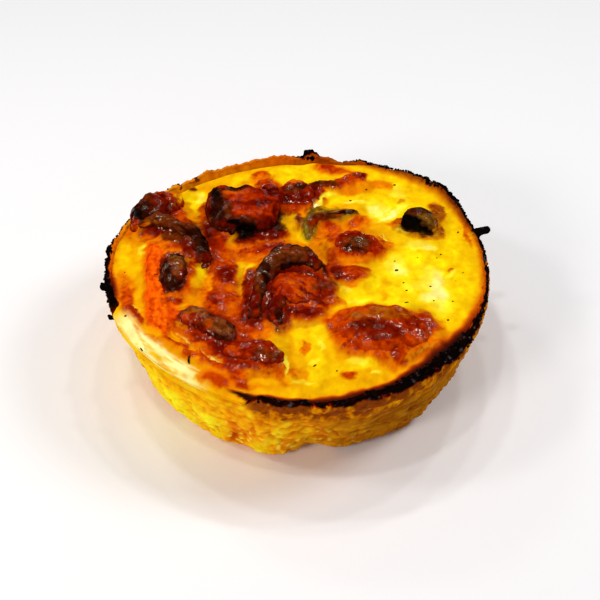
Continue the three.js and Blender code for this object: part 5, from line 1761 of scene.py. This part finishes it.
def build_fibre(number, radius, colour, path):
    points = [on_custard(u, v) for u, v in path]
    lifted = [(x, y, z + radius * 0.8) for x, y, z in points]
    mesh_points, quads, caps = tube(lifted, radius)
    piece = add_mesh(f"fibre_{number}", mesh_points, [quads, caps])
    paint(piece, tinted(colour, len(mesh_points)), 0.5)
    return piece


def build_flakes():
    points, quads, caps, colours, total = [], [], [], [], 0
    for number, (degrees, radius, z, length, width, thickness, look) in enumerate(RIM_FLAKES):
        stations = []
        for share in (-0.5, 0, 0.5):
            x, y, _ = on_circle(np.array(degrees), radius + share * length, 0.0)
            stations.append((x, y, z + share * thickness, width / 2, thickness / 2))
        rings, start, end = loft(stations, 3, 4, 0.25, sides=40, steps=30)
        rings, _ = wrinkled(rings, 0.25, 0.3, 0.15, 80 + number)
        chip, chip_quads, chip_caps = closed_stack(rings, start, end)
        points.append(chip)
        quads.append(chip_quads + total)
        caps.append(chip_caps + total)
        colours.append(tinted(look, len(chip)))
        total += len(chip)
    faces = [np.concatenate(quads), np.concatenate(caps)]
    piece = add_mesh("char_flakes", np.concatenate(points), faces)
    paint(piece, np.concatenate(colours), 0.75)
    return piece


def build_crumbs():
    """Loose crumbs, more of them where the char is deep."""
    random = np.random.default_rng(11)
    places = []
    while len(places) < CRUMB_COUNT:
        degrees = random.uniform(-180, 180)
        at = np.array(degrees)
        depth = float(round_table(CHAR_DEPTH, at))
        if random.uniform(*CRUMB_DEPTHS) > depth or float(overflow(at)) > 0.1:
            continue
        width = float(round_table(CREST_WIDTHS, at))
        share = random.uniform(-0.02, 0.75) * float(round_table(CHAR_WIDTH, at))
        drop = np.interp(share, *np.array(CREST_SECTION).T)
        x, y, _ = on_circle(at, float(rim_radius(at)) - width * share, 0.0)
        size = random.uniform(*CRUMB_SIZES)
        sizes = size * random.uniform(0.6, 1.1, 3)
        z = float(crest_height(at)) - drop + size * 0.2
        places.append(((x, y, z), sizes, random.uniform(0, math.pi), len(places)))
    piece = join_lumps("char_crumbs", places)
    paint(piece, tinted("black", len(piece.data.vertices)) * 1.2, 0.7)
    return piece


# ---------------------------------------------------------------- studio

def build_camera():
    camera = bpy.data.objects.new("camera", bpy.data.cameras.new("camera"))
    camera.data.lens = CAMERA_LENS
    camera.data.sensor_width = SENSOR_WIDTH
    camera.data.clip_start = 0.01
    camera.location = Vector(EYE) * MM
    camera.rotation_euler = ((90 - CAMERA_ELEVATION) * DEGREE, 0, 0)
    bpy.context.scene.collection.objects.link(camera)
    bpy.context.scene.camera = camera


def area_light(name, place, size, power, colour):
    light = bpy.data.lights.new(name, "AREA")
    light.shape = "DISK"
    light.size = size * MM
    light.energy = power
    light.color = colour
    lamp = bpy.data.objects.new(name, light)
    lamp.location = Vector(place) * MM
    aim = Vector(LAMP_AIM) * MM - lamp.location
    lamp.rotation_euler = aim.to_track_quat("-Z", "Y").to_euler()
    bpy.context.scene.collection.objects.link(lamp)


def build_lights():
    for name, place, size, power, warmth in LAMPS:
        area_light(name, place, size, power, (1, mix(1, warmth, 0.6), warmth))
    world = bpy.data.worlds.new("studio")
    world.use_nodes = True
    background = world.node_tree.nodes["Background"]
    background.inputs["Color"].default_value = (1, 1, 1, 1)
    background.inputs["Strength"].default_value = FILL_STRENGTH
    bpy.context.scene.world = world
    bpy.context.scene.view_settings.view_transform = "Standard"


def build_floor():
    near, far = -FLOOR_REACH, FLOOR_REACH
    corners = np.array([(near, near, 0), (far, near, 0), (far, far, 0), (near, far, 0)], float)
    floor = add_mesh("floor", corners, [np.array([[0, 1, 2, 3]])], smooth=False)
    material = bpy.data.materials.new("pale_floor")
    material.use_nodes = True
    tree = material.node_tree
    shader = tree.nodes["Principled BSDF"]
    shader.inputs["Roughness"].default_value = 0.7
    cloud = texture(tree, "ShaderNodeTexNoise", "Fac", FLOOR_CLOUDS, Detail=2.0)
    tones = node(tree, "ShaderNodeMix", data_type="RGBA")
    tones.inputs[6].default_value, tones.inputs[7].default_value = FLOOR_TONES
    tree.links.new(cloud, tones.inputs["Factor"])
    tree.links.new(tones.outputs[2], shader.inputs["Base Color"])
    floor.data.materials.append(material)


# ---------------------------------------------------------------- scene

def main():
    materials = {slot: baked_material(slot, **looks) for slot, looks in SLOTS.items()}
    finish_piece(build_custard(), materials, "egg_custard", "custard")
    finish_piece(build_crust(), materials, "pastry", "crust")
    finish_piece(build_flakes(), materials, "pastry")
    finish_piece(build_crumbs(), materials, "pastry")
    finish_piece(build_specks(), materials, "dark_filling")
    for number, fibre in enumerate(FIBRES):
        finish_piece(build_fibre(number, *fibre), materials, "egg_custard")
    for number, name in enumerate(PIECES):
        finish_piece(build_piece(name, 10 * number), materials, PIECES[name]["slot"], name)
    build_camera()
    build_lights()
    build_floor()


main()
